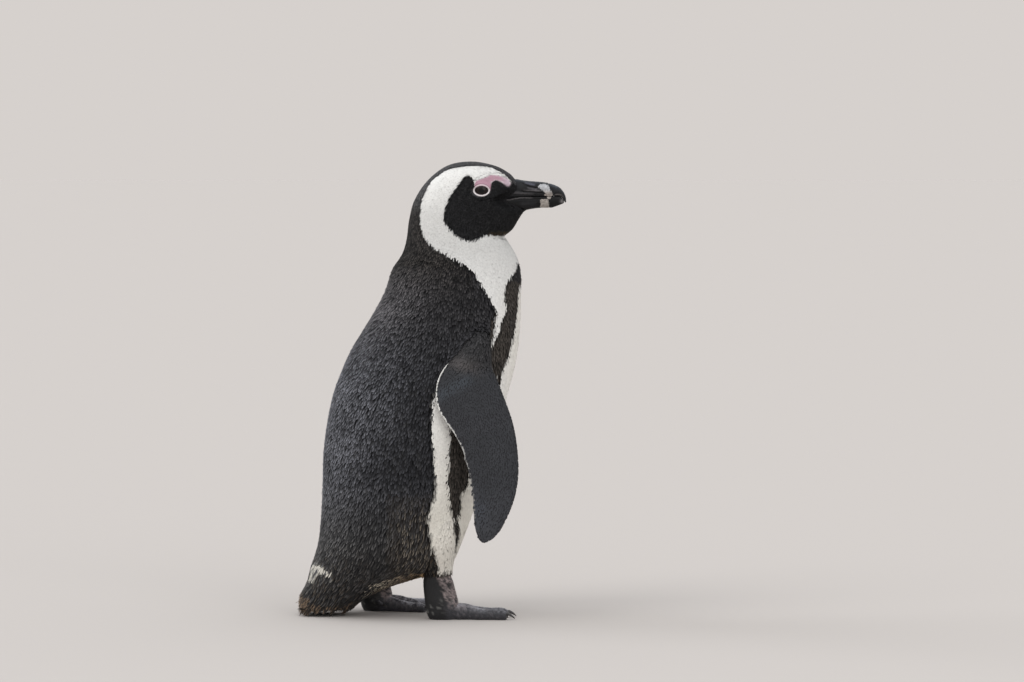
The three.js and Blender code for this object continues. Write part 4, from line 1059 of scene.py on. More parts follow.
def build_vanes(name, root, tang, nrm, length, width, depth, base, tip, uv, lift, mat, vane=VANE_LONG, seed=1, droop=None, follow=True, camber=.10, soft_tip=1.0, flat=None, edge=None, anchor=False):
    """Closed, thin, slightly domed vanes lying on the skin, joined in one mesh."""
    r = np.random.default_rng(seed)
    N = len(root)
    place, height, half, shade = vane
    K = len(place)
    q, n = (root, nrm) if anchor else project(root, nrm, 6.0)
    t = unit(tang - n * np.einsum("ij,ij->i", tang, n)[:, None])
    flat = np.zeros(N) if flat is None else flat            # 1 where feathers lie closed and smooth
    edge = np.full(N, .8) if edge is None else edge        # share of the tip colour on a vane's edges
    layer = (r.random(N) - .5) * (.24 - .19 * flat) * np.minimum(depth, 1.2)
    camb = camber * (1 - .75 * flat)
    crest = .06 - .035 * flat
    nv = 3 * K + 2
    V = np.zeros((N, nv, 3))
    UV = np.zeros((N, nv, 2))
    C = np.zeros((N, nv, 3))
    V[:, 0] = q - n * np.minimum(.25, depth * .25)[:, None]
    bend = (r.random(N) - .5) * .10
    prev_n = n
    for k in range(K):
        p = q + t * (length * place[k])[:, None]
        if droop is not None:
            p = p + droop * (length * place[k] ** 2)[:, None]
        cb = np.cross(n, t)
        p = p + cb * (bend * length * place[k] ** 2)[:, None]
        if follow:
            c, cn = project(p, prev_n)
            cn = unit(cn * .7 + prev_n * .3)
            prev_n = cn
        else:
            c, cn = p, n
        h = depth * (height[k] + (1 - height[k]) * .72 * flat) + layer + lift * place[k] ** 2
        b = unit(np.cross(cn, t))
        ce = c + cn * h[:, None]
        wd = width * .5 * half[k]
        V[:, 1 + 3 * k] = ce - b * wd[:, None] - cn * (wd * camb * 2)[:, None]
        V[:, 2 + 3 * k] = ce + cn * (wd * camb + crest)[:, None]
        V[:, 3 + 3 * k] = ce + b * wd[:, None] - cn * (wd * camb * 2)[:, None]
        for m in (1, 2, 3):
            C[:, m + 3 * k] = base + (tip - base) * (shade[k] * (edge if m != 2 else 1))[:, None] if m != 2 else base + (tip - base) * shade[k]
            UV[:, m + 3 * k] = [(m - 2) * .0015 * half[k], (place[k] - .5) * .003]
    p = q + t * length[:, None]
    if droop is not None:
        p = p + droop * length[:, None]
    p = p + np.cross(n, t) * (bend * length)[:, None]
    c, cn = project(p, prev_n) if follow else (p, n)
    V[:, nv - 1] = c + cn * (depth * 1.0 + layer + lift)[:, None]
    C[:, 0] = base
    C[:, nv - 1] = tip * soft_tip
    UV[:, 0], UV[:, nv - 1] = [0, -.0015], [0, .0015]
    V[..., 2] = np.maximum(V[..., 2], .25)
    tris = [(0, 1, 2), (0, 2, 3), (0, 3, 1)]
    for k in range(K - 1):
        for a_, b_ in ((1, 2), (2, 3), (3, 1)):
            a0, b0, a1, b1 = a_ + 3 * k, b_ + 3 * k, a_ + 3 * k + 3, b_ + 3 * k + 3
            tris += [(a0, a1, b1), (a0, b1, b0)]
    e = 3 * K - 2
    tris += [(nv - 1, e + 1, e), (nv - 1, e + 2, e + 1), (nv - 1, e, e + 2)]
    tris = np.array(tris)
    T = (tris[None] + (np.arange(N) * nv)[:, None, None]).reshape(-1, 3)
    lo_, hi_ = uv.min(0), uv.max(0)
    U = .004 + .992 * (uv - lo_) / (hi_ - lo_)
    UV = np.clip(UV + U[:, None], 0, 1)
    flatV = V.reshape(-1, 3)
    # faces point out: test the first vane's own volume
    a0 = V[:, tris[:, 0]] - V[:, :1]
    vol = np.einsum("nti,nti->n", a0, np.cross(V[:, tris[:, 1]] - V[:, :1], V[:, tris[:, 2]] - V[:, :1]))
    if (vol < 0).mean() > .5:
        T = T[:, ::-1]
    o = make_object(name, flatV, T)
    me = o.data
    colour_attribute(me, np.clip(C.reshape(-1, 3), .002, .95))
    lay = me.uv_layers.new(name="OFBake")
    lv = np.zeros(len(me.loops), np.int32)
    me.loops.foreach_get("vertex_index", lv)
    lay.data.foreach_set("uv", UV.reshape(-1, 2)[lv].astype(np.float32).ravel())
    # the two long edges are sharp, so that the top is shaded as one smooth vane
    ev = np.zeros(len(me.edges) * 2, np.int32)
    me.edges.foreach_get("vertices", ev)
    ev = ev.reshape(-1, 2) % nv
    is_l = (ev % 3 == 1) | (ev == 0) | (ev == nv - 1)
    is_r = ((ev % 3 == 0) & (ev > 0)) | (ev == 0) | (ev == nv - 1)
    sharp = (is_l.all(1) | is_r.all(1)) & (np.abs(ev[:, 0] - ev[:, 1]) > 0)
    at_ = me.attributes.new("sharp_edge", "BOOLEAN", "EDGE")
    at_.data.foreach_set("value", sharp)
    me.materials.append(mat)
    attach(o, "root")
    print(name, N, "vanes", len(T), "faces", round(time.time() - T0, 1))
    return o


def tangent(fn, s, a, sign):
    e = .05
    return unit(fn(s + e * sign, a) - fn(s - e * sign, a))


def off_side(t, n):
    return unit(np.cross(n, t))


def ragged(f, x):
    """Height over the floor at which the tail's feathers end, in uneven tufts."""
    q = np.stack([.3 * x, f, 0 * f], -1)
    return np.clip(3.2 + 9.0 * value_noise(q, 2.4, 97), .4, 9.0)


def face_in(t, n):
    return unit(t - n * np.einsum("ij,ij->i", t, n)[:, None])


# --- body, from the tail to the bill
rows = np.concatenate([np.linspace(.35, 22, 300), np.linspace(22.03, 29, 200)])
S_, A_ = scatter(body_point, rows, 180, lambda s: np.interp(s, ROWS, APART), 5)
P_ = body_point(S_, A_)
N_ = body_normal(S_, A_)
T_ = tangent(body_point, np.clip(S_, .1, 28.9), A_, -1)
n_all = len(S_)
# on the rump the feathers settle to hang, sweeping a little to the rear
hang = np.stack([0 * S_, np.interp(P_[:, 1], [-118, -100, -60, -10, 40], [-.95, -.78, -.42, -.16, -.06]), -np.ones(n_all)], -1)
kh = (1 - step(6, 12.5, S_)) * (1 - step(.62, .92, -N_[:, 2])) * .8
T_ = face_in(T_ * (1 - kh)[:, None] + unit(hang) * kh[:, None], N_)
D_ = np.interp(S_, ROWS, DEPTH)
inner_p = P_ - N_ * D_[:, None]
r_, phi_, open_, orb_t = orbit_coords(P_)
on_orbit = (S_ > 23) & (orb_t < .97) & (np.abs(P_[:, 0]) > 6)
inner_p = np.where(on_orbit[:, None], P_ - N_ * .9, inner_p)
ok = np.ones(n_all, bool)
hits = [skin_tree.find_nearest(p, 3.0) for p in inner_p.tolist()]
ok &= np.array([h[0] is not None for h in hits])
L_ = np.interp(S_, ROWS, LONG) * rng.uniform(.86, 1.16, n_all)
W_ = np.interp(S_, ROWS, WIDE) * rng.uniform(.86, 1.14, n_all)
show = P_ + T_ * (L_ * .62)[:, None]
side_b = off_side(T_, N_)
ahead = side_uv(show)[0] > 31
loose = np.interp(P_[:, 2], [60, 150, 220, 380, 420], [1.4, 1.0, .6, .6, .3]) * np.where(ahead, .5, 1) * np.clip(rng.normal(0, 1, n_all), -1.8, 1.8)
spread = np.interp(P_[:, 2], [60, 150, 220, 380, 420], [2.8, 2.2, 1.4, .9, .45]) * np.where(ahead, .45, 1)
beside = [body_region(show + side_b * (k * spread)[:, None], N_) for k in (-1.0, -.4, .4, 1.0)]
share_white = np.mean([(g == WHITE) | (g == SPOT) for g in beside], 0)
show = show + side_b * loose[:, None]
reg_root = body_region(P_, N_)
reg_ = body_region(show, N_)
reg_l = body_region(P_ - side_b * 2.6 + T_ * 3, N_)
reg_r = body_region(P_ + side_b * 2.6 + T_ * 3, N_)
reg_f = body_region(show + T_ * 3.2, N_)
bare_here = (reg_root == PINKISH) | ((S_ > 23) & (np.abs(P_[:, 0]) > 8) & (open_ < 1.36))
tip_bare = ((reg_ == PINKISH) & (reg_root != PINKISH))
ah_ = ahead_of_feathers(P_[:, 1], P_[:, 2])
ok &= ~bare_here & ~((ah_ > -.4) & (S_ > 24))
ok &= ~((P_[:, 2] < 10.5) & (S_ < 4.6) & (N_[:, 2] < -.3))
DD = np.where(on_orbit, .7, D_)
# the coat thins out where it meets the bill
DD = np.where(S_ > 24, DD * (.35 + .65 * step(0, 7, -ah_)), DD)
# and where the body's coat runs out over the thigh
DD = DD * (1 - .6 * np.exp(-((P_[:, 1] - 30) / 20) ** 2 - ((P_[:, 2] - 102) / 13) ** 2) * (P_[:, 0] < -46))
L_ = np.where(tip_bare, L_ * .55, L_)
L_ = np.where(on_orbit, L_ * .8, L_)
whitish = (reg_ == WHITE) | (reg_ == CREAM)
flat_ = np.where(whitish, 1.0, 0.0)
flat_ = np.maximum(flat_, (step(19.5, 22, S_) * .8))
lift_ = rng.exponential(.16, n_all) * np.minimum(DD / 3, 1) * (1 - .8 * flat_)
W_ = W_ * np.where(whitish, 1.34 + .14 * step(19, 22, S_), 1.0)

# ragged edges between black and white: narrow feathers, the black ones turned a little outward
blk = reg_ == BLACK
near_l, near_r = blk & (reg_l == WHITE), blk & (reg_r == WHITE)
turn = np.where(near_l & ~near_r, -1.0, np.where(near_r & ~near_l, 1.0, 0.0)) * rng.uniform(0, .5, n_all) * (S_ < 19)
T_ = face_in(T_ + side_b * turn[:, None], N_)
fringe_w = (reg_ == WHITE) & ((reg_l == BLACK) | (reg_r == BLACK) | (reg_f == BLACK))
rag = near_l | near_r | (blk & (reg_f == WHITE))
W_ = np.where(rag | fringe_w, W_ * .58, W_)
L_ = np.where(rag, L_ * rng.uniform(.9, 1.25, n_all), L_)
L_ = np.where(fringe_w & (S_ < 19), L_ * .8, L_)
lift_ = np.where(rag, lift_ + .12 * np.minimum(DD / 3, 1), lift_)
lift_ = np.where(fringe_w & (S_ < 19), 0, lift_)

# the tail's own coverts stand off a little and end in spikes
spike = (1 - step(1.2, 4.2, S_)) * (.35 + .65 * step(-.2, .5, -N_[:, 1]))
lift_ = lift_ + spike * rng.exponential(.4, n_all)
W_ = W_ * (1 - .42 * spike)
L_ = L_ * (1 + .25 * spike)

dull = (reg_ == SPOT) & (rng.random(n_all) < .27)
reg_[dull] = BLACK
k_tail = 1 - step(2.6, 6.0, S_)
k_rump = (1 - step(90, 150, P_[:, 2])) * blk
W_ = W_ * (1 - .16 * k_rump)
L_ = L_ * (1 + .16 * k_rump)
W_ = W_ * (1 - .40 * k_tail)
L_ = L_ * (1 + .08 * k_tail)
room = np.minimum(L_, np.maximum(P_[:, 2] - 4, .5) / np.maximum(-T_[:, 2], .25))
room = np.maximum(P_[:, 2] - ragged(P_[:, 1] + T_[:, 1] * room, P_[:, 0]) - rng.exponential(.6, n_all), .6) / np.maximum(-T_[:, 2], .25)
L_ = np.where((S_ < 5.5) & (P_[:, 2] < 28), np.clip(room, 3.0, np.maximum(L_, 3.0)), L_)
behind = (P_[:, 1] + 121.0 + 1.8 * value_noise(P_, 2.5, 98)) / np.maximum(-T_[:, 1], .1)
L_ = np.where(S_ < 4, np.clip(behind, 3.0, np.maximum(L_, 3.0)), L_)

# colours of each feather: base and tip
U_, V_ = side_uv(show)
nz = value_noise(show, 26, 61)
tone = rng.normal(0, 1, n_all)
base_c = np.tile([.0075, .0075, .008], (n_all, 1)) * (1 + .15 * tone[:, None])
tip_c = np.tile([.0125, .0125, .0135], (n_all, 1)) * (1 + .30 * np.clip(tone, -2, 2)[:, None])
is_back = blk & (S_ < 19.6)
band = (U_ > np.interp(V_, [60, 130, 190, 255, 300, 345], [30, 30, 34, 62, 78, 90])) & (V_ > 60) & (V_ < 350)
streak = np.clip(.52 + .40 * tone + .25 * nz, .04, 1.6)
slate = np.array([.092, .094, .106])
slate_low = np.array([.084, .082, .081])
k_low = (1 - step(60, 150, V_))[:, None]
slate_c = slate + (slate_low - slate) * k_low
up_f = step(250, 330, V_)[:, None]
slate_c = slate_c + (np.array([.078, .074, .078]) - slate_c) * up_f
painted_sheen_fade = step(-85, 12, P_[:, 1] - .22 * (P_[:, 2] - 200))[:, None] * (1 - .35 * k_low)          # painted sheen: the slate tips are lighter toward the back's rear edge and its top, darker toward the flank
slate_c = slate_c * (1.42 - .84 * painted_sheen_fade + .42 * (1 - painted_sheen_fade) ** 2 * (1 - k_low)) * (1 + .5 * step(290, 325, V_)[:, None] * (1 - painted_sheen_fade))
low = 1 - step(70, 135, V_)
pale_one = rng.random(n_all) < .36
streak_low = np.where(pale_one, 1.5, .30) * (.65 + .35 * streak)
streak = streak + (streak_low - streak) * low
# painted shade: a darker patch mid-back; painted sheen: a lighter patch higher toward the rear
painted_shade_and_sheen = 1 - .26 * np.exp(-((U_ + 19) / 30) ** 2 - ((V_ - 158) / 22) ** 2) + .10 * np.exp(-((U_ + 45) / 26) ** 2 - ((V_ - 215) / 40) ** 2)
back_tip = slate_c * ((.31 + .84 * streak) * painted_shade_and_sheen)[:, None]
back_base = np.array([.0105, .0105, .012]) * (1 + .2 * tone[:, None])
m = (S_ < 19.6) & ~band
tip_c[m], base_c[m] = back_tip[m], np.clip(back_base, .004, 1)[m]
bm = band
tip_c[bm] = (np.array([.074, .064, .056]) * (.55 + .8 * streak)[:, None])[bm]
base_c[bm] = [.021, .019, .017]
kn = (step(17.5, 20, S_) * (U_ < 60) * ~inside(MASK, U_, V_))[:, None]
nape_tip = np.array([.042, .037, .034]) * (.10 + 1.15 * streak)[:, None]
tip_c = tip_c + (nape_tip - tip_c) * kn * (~band)[:, None]
# painted sheen: lighter grey tips on the upward-facing crown, standing in for sky light on the head's top edge
painted_crown_sheen = (step(20.8, 24.2, S_) * step(-.25, .35, N_[:, 2]) * step(418, 446, P_[:, 2]) * ~inside(MASK, U_, V_))[:, None]
tip_c = tip_c + (np.array([.128, .127, .131]) * (1 + .2 * np.clip(tone, -2, 2)[:, None]) - tip_c) * painted_crown_sheen
chin = blk & (S_ > 22) & (P_[:, 2] < 404) & (P_[:, 1] > 78)
tip_c[chin] = (np.array([.105, .070, .034]) * (.5 + .6 * streak)[:, None] * step(408, 397, P_[:, 2])[:, None] + np.array([.012, .011, .010]))[chin]
brown = np.array([.150, .122, .094]) * (.5 + .8 * rng.random((n_all, 1)))
mix_r = ((1 - step(3, 8.5, S_)) * (rng.random(n_all) < .22) * .6)[:, None]
flank = (U_ > -30) & (U_ < 22) & (V_ < 126) & (S_ > 5) & (N_[:, 2] > -.93)
flank_k = (flank * step(-30, -8, U_) * (1 - step(90, 126, V_)) * (rng.random(n_all) < .44) * .85)[:, None]
taupe = np.array([.300, .262, .215]) * (.45 + .8 * rng.random((n_all, 1)))
tail_brown = np.array([.30, .235, .180]) * (.30 + 1.0 * rng.random((n_all, 1)))
mix_t = (np.maximum(1 - step(.5, 1.9, S_), (P_[:, 1] < -104) * (P_[:, 2] < 25) * .9) * (rng.random(n_all) < .62) * .85)[:, None]
low_edge = (step(-.89, -.98, N_[:, 2]) * (P_[:, 2] < 60) * step(3.6, 4.6, S_) * np.where(rng.random(n_all) < .85, 1, .3))[:, None] * .95
golden = (np.array([.60, .50, .36]) + (np.array([.26, .175, .10]) - np.array([.60, .50, .36])) * step(-36, 2, P_[:, 1])[:, None])
tip_c = np.where(blk[:, None], tip_c + (brown - tip_c) * mix_r, tip_c)
tip_c = np.where(blk[:, None], tip_c + (tail_brown - tip_c) * mix_t, tip_c)
tip_c = np.where(blk[:, None], tip_c + (taupe - tip_c) * flank_k, tip_c)
base_c = np.where((blk & flank)[:, None], base_c * [1.5, 1.25, 1.0], base_c)
W_ = np.where(flank_k[:, 0] > .2, W_ * .74, W_)
tip_c = np.where(blk[:, None], tip_c + (golden * (.65 + .5 * rng.random((n_all, 1))) - tip_c) * low_edge, tip_c)
w = np.where((reg_ == CREAM) | (reg_ == PINKISH), 0, step(.05, .95, share_white + rng.uniform(-.12, .12, n_all)))
w[dull] = 0
white = np.array([.79, .785, .765]) * (1 + .02 * np.clip(tone, -2, 2)[:, None])
# painted shade: the white is darker under the head and toward the bottom, lightest on the chest and the top of the head
white = white * np.interp(P_[:, 2], [70, 110, 240, 300, 345, 390, 425, 440, 462], [.88, .95, .99, .92, .86, .69, .75, .83, .90])[:, None]
k_bell = (1 - step(60, 260, V_))[:, None]
white = white * (1 - k_bell * np.array([.03, .06, .13]))
white = white * (1 - (step(80, 110, U_) * (1 - step(330, 350, V_)))[:, None] * np.array([-.02, .0, .045]))
tip_c = tip_c + (white - tip_c) * w[:, None]
base_c = base_c + (white * .94 - base_c) * w[:, None]
tip_c[dull] = [.16, .16, .165]
base_c[dull] = [.05, .05, .052]
spot = reg_ == SPOT
base_c = np.where(spot[:, None], white * .70, base_c)
tip_c = np.where((spot & (rng.random(n_all) < .10))[:, None], [.09, .09, .09], tip_c)
L_ = np.where(spot, L_ * 1.1, L_)
W_ = np.where(spot, W_ * .54, W_)
cr = reg_ == CREAM
cream = np.array([.50, .41, .28]) * (1 + .06 * np.clip(tone, -2, 2)[:, None])
tip_c = np.where(cr[:, None], cream, tip_c)
base_c = np.where(cr[:, None], cream * .85, base_c)
stray = blk & (rng.random(n_all) < .0006) & (S_ > 12) & (S_ < 19) & (U_ > 50)
tip_c[stray] = [.5, .5, .48]
edge_ = np.where(reg_ == CREAM, .9, .38 - .26 * k_rump * (1 - w) + .52 * w)

uv_body = np.stack([A_ / (2 * math.pi), S_], 1)
right = P_[:, 0] < 0
pieces_ = [("coat_tail", (S_ < 3.4), VANE_LONG, "plumage_black"),
           ("coat_rump", (S_ >= 3.4) & (S_ < 8), VANE_LONG, "plumage_black"),
           ("coat_back_lower", (S_ >= 8) & (S_ < 11.5), VANE_LONG, "plumage_black"),
           ("coat_back_middle", (S_ >= 11.5) & (S_ < 15), VANE_LONG, "plumage_black"),
           ("coat_back_upper", (S_ >= 15) & (S_ < 18.2), VANE_LONG, "plumage_black"),
           ("coat_neck", (S_ >= 18.2) & (S_ < 22), VANE_SHORT, "plumage_white"),
           ("coat_head_right", (S_ >= 22) & right, VANE_SHORT, "plumage_black"),
           ("coat_head_left", (S_ >= 22) & ~right, VANE_SHORT, "plumage_black")]
for k, (nm, sel, vane, sl) in enumerate(pieces_):
    g = sel & ok
    build_vanes(nm, inner_p[g], T_[g], N_[g], L_[g], W_[g], DD[g], base_c[g], tip_c[g], uv_body[g], lift_[g], MAT_COAT, vane,
                seed=100 + k, flat=flat_[g], edge=edge_[g])

# --- flippers: small stiff scale feathers on both faces
for side, word in ((-1, "right"), (1, "left")):
    fn = lambda s, a, side=side: flipper_point(side, s, a, 0.0)
    s_, a_ = scatter(fn, np.concatenate([np.linspace(.2, 21, 150), np.linspace(21.05, 22.9, 24)]), 96, lambda s: 1.62 + 0 * s, 30 + side)
    p_ = fn(s_, a_)
    n_ = normals(fn, np.clip(s_, .05, 22.9), a_)
    axis = np.stack([side * at(FLIPPER, s_)[:, 3], SHOULDER_F + (at(FLIPPER, s_)[:, 1] + at(FLIPPER, s_)[:, 2]) / 2, SHOULDER_Z - at(FLIPPER, s_)[:, 0]], -1)
    flip_sign = np.where(np.einsum("ij,ij->i", n_, np.stack([side * np.sin(a_), np.cos(a_), 0 * a_], -1)) < 0, -1, 1)
    n_ = n_ * flip_sign[:, None]
    d_ = at(FLIPPER, s_)[:, 0]
    t_ = tangent(fn, np.clip(s_, .1, 22.85), a_, 1)
    sw = math.radians(SWING[side])
    rearward = np.array([0, -math.cos(sw), -math.sin(sw)])
    t_ = face_in(t_ + rearward[None] * (.16 + .10 * step(60, 180, d_))[:, None], n_)
    face = np.sin(a_)                       # 1 outer face, -1 inner face
    hit = [skin_tree.find_nearest(q, 2.6) for q in (p_ - n_ * .6).tolist()]
    keep = np.array([h[0] is not None for h in hit])
    # bury nothing: leave out places that the trunk covers
    keep &= np.array([h[0] is not None and h[1][0] * m_[0] + h[1][1] * m_[1] + h[1][2] * m_[2] > -.2 for h, m_ in zip(hit, n_.tolist())])
    r2 = np.random.default_rng(400 + side)
    cnt = len(s_)
    near = 1 - step(2, 34, d_)
    ln = (3.7 + 3.6 * near) * r2.uniform(.86, 1.15, cnt) * np.interp(s_, [21.2, 22.4], [1, .5])
    wd = (1.95 + .7 * near) * r2.uniform(.86, 1.14, cnt)
    dp = .55 + 1.3 * near
    tn = r2.normal(0, 1, cnt)
    near2 = (1 - step(6, 30, d_))[:, None]
    front_edge = (np.cos(a_) > .97) & (d_ > 60)
    nzf = .9 * value_noise(p_, 17, 71) + .40 * value_noise(p_, 8, 75)
    out_tip = np.array([.0455, .0475, .0535])[None] * (1 + .065 * np.clip(tn, -2, 2) + .20 * nzf)[:, None] * (np.interp(d_, [14, 26, 50, 80], [1, .72, .74, .96]) * (1 + .34 * step(110, 190, d_)))[:, None]
    out_base = np.tile([.031, .032, .036], (cnt, 1)) * (1 + .34 * step(110, 190, d_))[:, None]
    top_tip = np.array([.040, .039, .041])[None] * (.5 + .7 * np.clip(.5 + .4 * tn, 0, 1.6))[:, None]
    out_tip = out_tip + (top_tip - out_tip) * near2
    out_base = out_base + (np.array([.012, .012, .013]) - out_base) * near2
    lat = (at(FLIPPER, s_)[:, 1] + at(FLIPPER, s_)[:, 2]) / 2 + (at(FLIPPER, s_)[:, 2] - at(FLIPPER, s_)[:, 1]) / 2 * np.cos(a_)
    worn = np.exp(-(((d_ - 11 - .25 * (lat + 8)) / 8) ** 2 + ((lat + 8) / 16) ** 2)) * np.clip(.9 + .5 * nzf, .3, 1.25)
    # painted sheen: a diagonal bluish streak high on the outer face and a bluish patch near the tip
    along_ = np.clip(((d_ - 45) * -16 + (lat + 31) * 28) / (16 ** 2 + 28 ** 2), 0, 1)
    painted_blue_sheen = (np.exp(-(np.hypot(d_ - 45 + 16 * along_, lat + 31 - 28 * along_) / 6.0) ** 2))[:, None]
    painted_tip_sheen = (np.exp(-((d_ - 160) / 17) ** 2 - ((lat + 2) / 15) ** 2) * np.clip(.9 + .6 * nzf, .3, 1.3))[:, None]
    worn = worn[:, None]
    out_tip = out_tip + (np.array([.088, .080, .080]) - out_tip) * worn * .85
    out_base = out_base + (np.array([.062, .057, .057]) - out_base) * worn * .85
    out_tip = out_tip + (np.array([.058, .066, .077]) - out_tip) * painted_blue_sheen * .8
    out_base = out_base + (np.array([.040, .046, .054]) - out_base) * painted_blue_sheen * .8
    out_tip = out_tip + (np.array([.070, .079, .102]) - out_tip) * painted_tip_sheen * .75
    out_base = out_base + (np.array([.054, .062, .082]) - out_base) * painted_tip_sheen * .75
    mott_ = value_noise(p_, 6.5, 73) + .5 * value_noise(p_, 2.6, 74)
    white_in = np.array([.66, .645, .61])[None] * (1 + .04 * tn)[:, None]
    edge_dark = step(.45, .92, np.abs(np.cos(a_)) + .28 * mott_)
    tipc = np.where((face > .02)[:, None], out_tip, white_in + (np.array([.045, .045, .05]) - white_in) * edge_dark[:, None])
    basec = np.where((face > .02)[:, None], out_base, tipc * .8)
    tipc[front_edge] = tipc[front_edge] * .8
    fl = .75 - .45 * near
    build_vanes(f"coat_flipper_{word}", (p_ - n_ * .6)[keep], t_[keep], n_[keep], ln[keep], wd[keep], dp[keep], np.maximum(basec, .004)[keep],
                np.maximum(tipc, .004)[keep], np.stack([a_ / (2 * math.pi), s_], 1)[keep], (r2.exponential(.05, cnt) * (1 + 2 * near))[keep],
                MAT_FLIPPER, VANE_SHORT, seed=430 + side, flat=fl[keep], edge=np.full(keep.sum(), .62))
    # the white line of longer feathers along the rear edge
    s3 = np.interp(np.linspace(12.4, 172, 420), FLIPPER[:, 0], np.arange(len(FLIPPER)))
    s3 = np.repeat(s3, 3)
    cnt = len(s3)
    a3 = math.pi + r2.uniform(-.26, .14, cnt) * (1 if side > 0 else -1) * -side
    p3 = fn(s3, a3)
    n3 = unit(fn(s3, a3) - fn(s3, a3 * 0) * .0 - np.stack([side * at(FLIPPER, s3)[:, 3], SHOULDER_F + at(FLIPPER, s3)[:, 0] * math.sin(sw), SHOULDER_Z - at(FLIPPER, s3)[:, 0] * math.cos(sw)], -1))
    along = tangent(fn, np.clip(s3, .1, 22.8), np.full(cnt, math.pi), 1)
    d3 = at(FLIPPER, s3)[:, 0]
    wide = np.interp(d3, [10, 30, 60, 110, 172], [.0, .3, .15, .0, -.2]) * r2.uniform(.2, 1.5, cnt)
    back3 = unit(rearward[None] + along * np.interp(d3, [10, 60, 172], [.7, .9, 1.2])[:, None])
    up3 = np.tile([float(side), 0, 0], (cnt, 1))
    wcol = np.array([.80, .79, .765])[None] * r2.uniform(.9, 1.05, (cnt, 1)) * np.interp(d3, [50, 90, 130], [1, .66, .30])[:, None]
    build_vanes(f"flipper_edge_{word}", p3 - rearward[None] * (1.6 + np.interp(d3, [50, 100, 150], [0, .35, .7]))[:, None], back3, face_in(up3, back3), (wide + 2.0) * r2.uniform(.8, 1.15, cnt), r2.uniform(.9, 1.3, cnt),
                np.full(cnt, .35), wcol * .92, wcol, np.stack([a3 / 6.3, s3 / 24], 1), np.zeros(cnt), MAT_COAT, VANE_SHORT,
                seed=470 + side, follow=False, flat=np.ones(cnt), edge=np.full(cnt, .95), anchor=True)

# --- thighs and the feathered top of each leg
for side, word in ((-1, "right"), (1, "left")):
    fn = lambda s, a, side=side: leg_point(side, s, a, 0.0)
    s_, a_ = scatter(fn, np.linspace(0, 5.35, 90), 90, lambda s: 1.72 + 0 * s, 50 + side)
    p_ = fn(s_, a_)
    n_ = unit(np.stack([np.sin(a_) / 1.0, np.cos(a_) / 1.1, 0 * a_], -1))
    z_ = p_[:, 2]
    inn = p_ + n_ * leg_grow(z_)[:, None]
    hit = [skin_tree.find_nearest(q, 1.3) for q in inn.tolist()]
    keep = np.array([h[0] is not None for h in hit]) & (z_ > (47.2 if side < 0 else 43.5))
    r2 = np.random.default_rng(500 + side)
    cnt = len(s_)
    t_ = np.tile([0, -.05, -1.0], (cnt, 1)) + r2.normal(0, .05, (cnt, 3))
    t_ = face_in(t_, n_)
    sock = 1 - step(46, 58, z_)
    ln = (7.5 - 1.5 * sock) * r2.uniform(.8, 1.25, cnt)
    ln = np.where(z_ < 53.5, np.clip(z_ - 44.2, 2.8, 5.2) * r2.uniform(.85, 1.15, cnt), ln)
    wd = (2.3 - 1.2 * sock) * r2.uniform(.85, 1.15, cnt)
    dp = np.clip(-leg_grow(z_), .35, 3) * 1.0
    aside = np.stack([0 * s_, np.ones(cnt), 0 * s_], -1)
    reg = leg_region(p_ + t_ * 4 + aside * np.clip(r2.normal(0, .8, cnt), -1.5, 1.5)[:, None], side)
    light = np.mean([leg_region(p_ + t_ * 4 + aside * k, side) == WHITE for k in (-1.1, -.4, .4, 1.1)], 0)
    light = np.where(reg == CREAM, 0, step(.05, .95, light + r2.uniform(-.12, .12, cnt)))
    tn = r2.normal(0, 1, cnt)
    tipc = np.array([.062, .056, .050])[None] * np.clip(.45 + .42 * tn, .05, 1.5)[:, None]
    basec = np.tile([.011, .010, .010], (cnt, 1))
    brownish = (r2.random(cnt) < .15)
    tipc[brownish] = np.array([.075, .056, .038])
    wv = np.array([.66, .632, .575])[None] * (1 + .02 * tn)[:, None]
    tipc = tipc + (wv - tipc) * light[:, None]
    basec = basec + (wv * .94 - basec) * light[:, None]
    cv = np.array([.58, .51, .40])[None] * (1 + .06 * tn)[:, None]
    tipc = np.where((reg == CREAM)[:, None], cv, tipc)
    basec = np.where((reg == CREAM)[:, None], cv * .85, basec)
    hem = (step(57.5, 50.5, z_ + r2.normal(0, 1.1, cnt)) * (reg != BLACK))[:, None]
    tipc = tipc + (np.array([.075, .064, .057])[None] * r2.uniform(.5, 1.9, (cnt, 1)) - tipc) * hem
    basec = basec + (np.array([.05, .044, .040]) - basec) * hem
    build_vanes(f"coat_leg_{word}", inn[keep], t_[keep], n_[keep], ln[keep], wd[keep], dp[keep], np.maximum(basec, .004)[keep], np.maximum(tipc, .004)[keep],
                np.stack([a_ / (2 * math.pi), s_], 1)[keep], (r2.exponential(.12, cnt) * (.4 + sock))[keep], MAT_COAT, VANE_LONG,
                seed=530 + side, flat=np.where(reg == BLACK, .1, .8)[keep], edge=np.where(reg == BLACK, .5, .9)[keep])

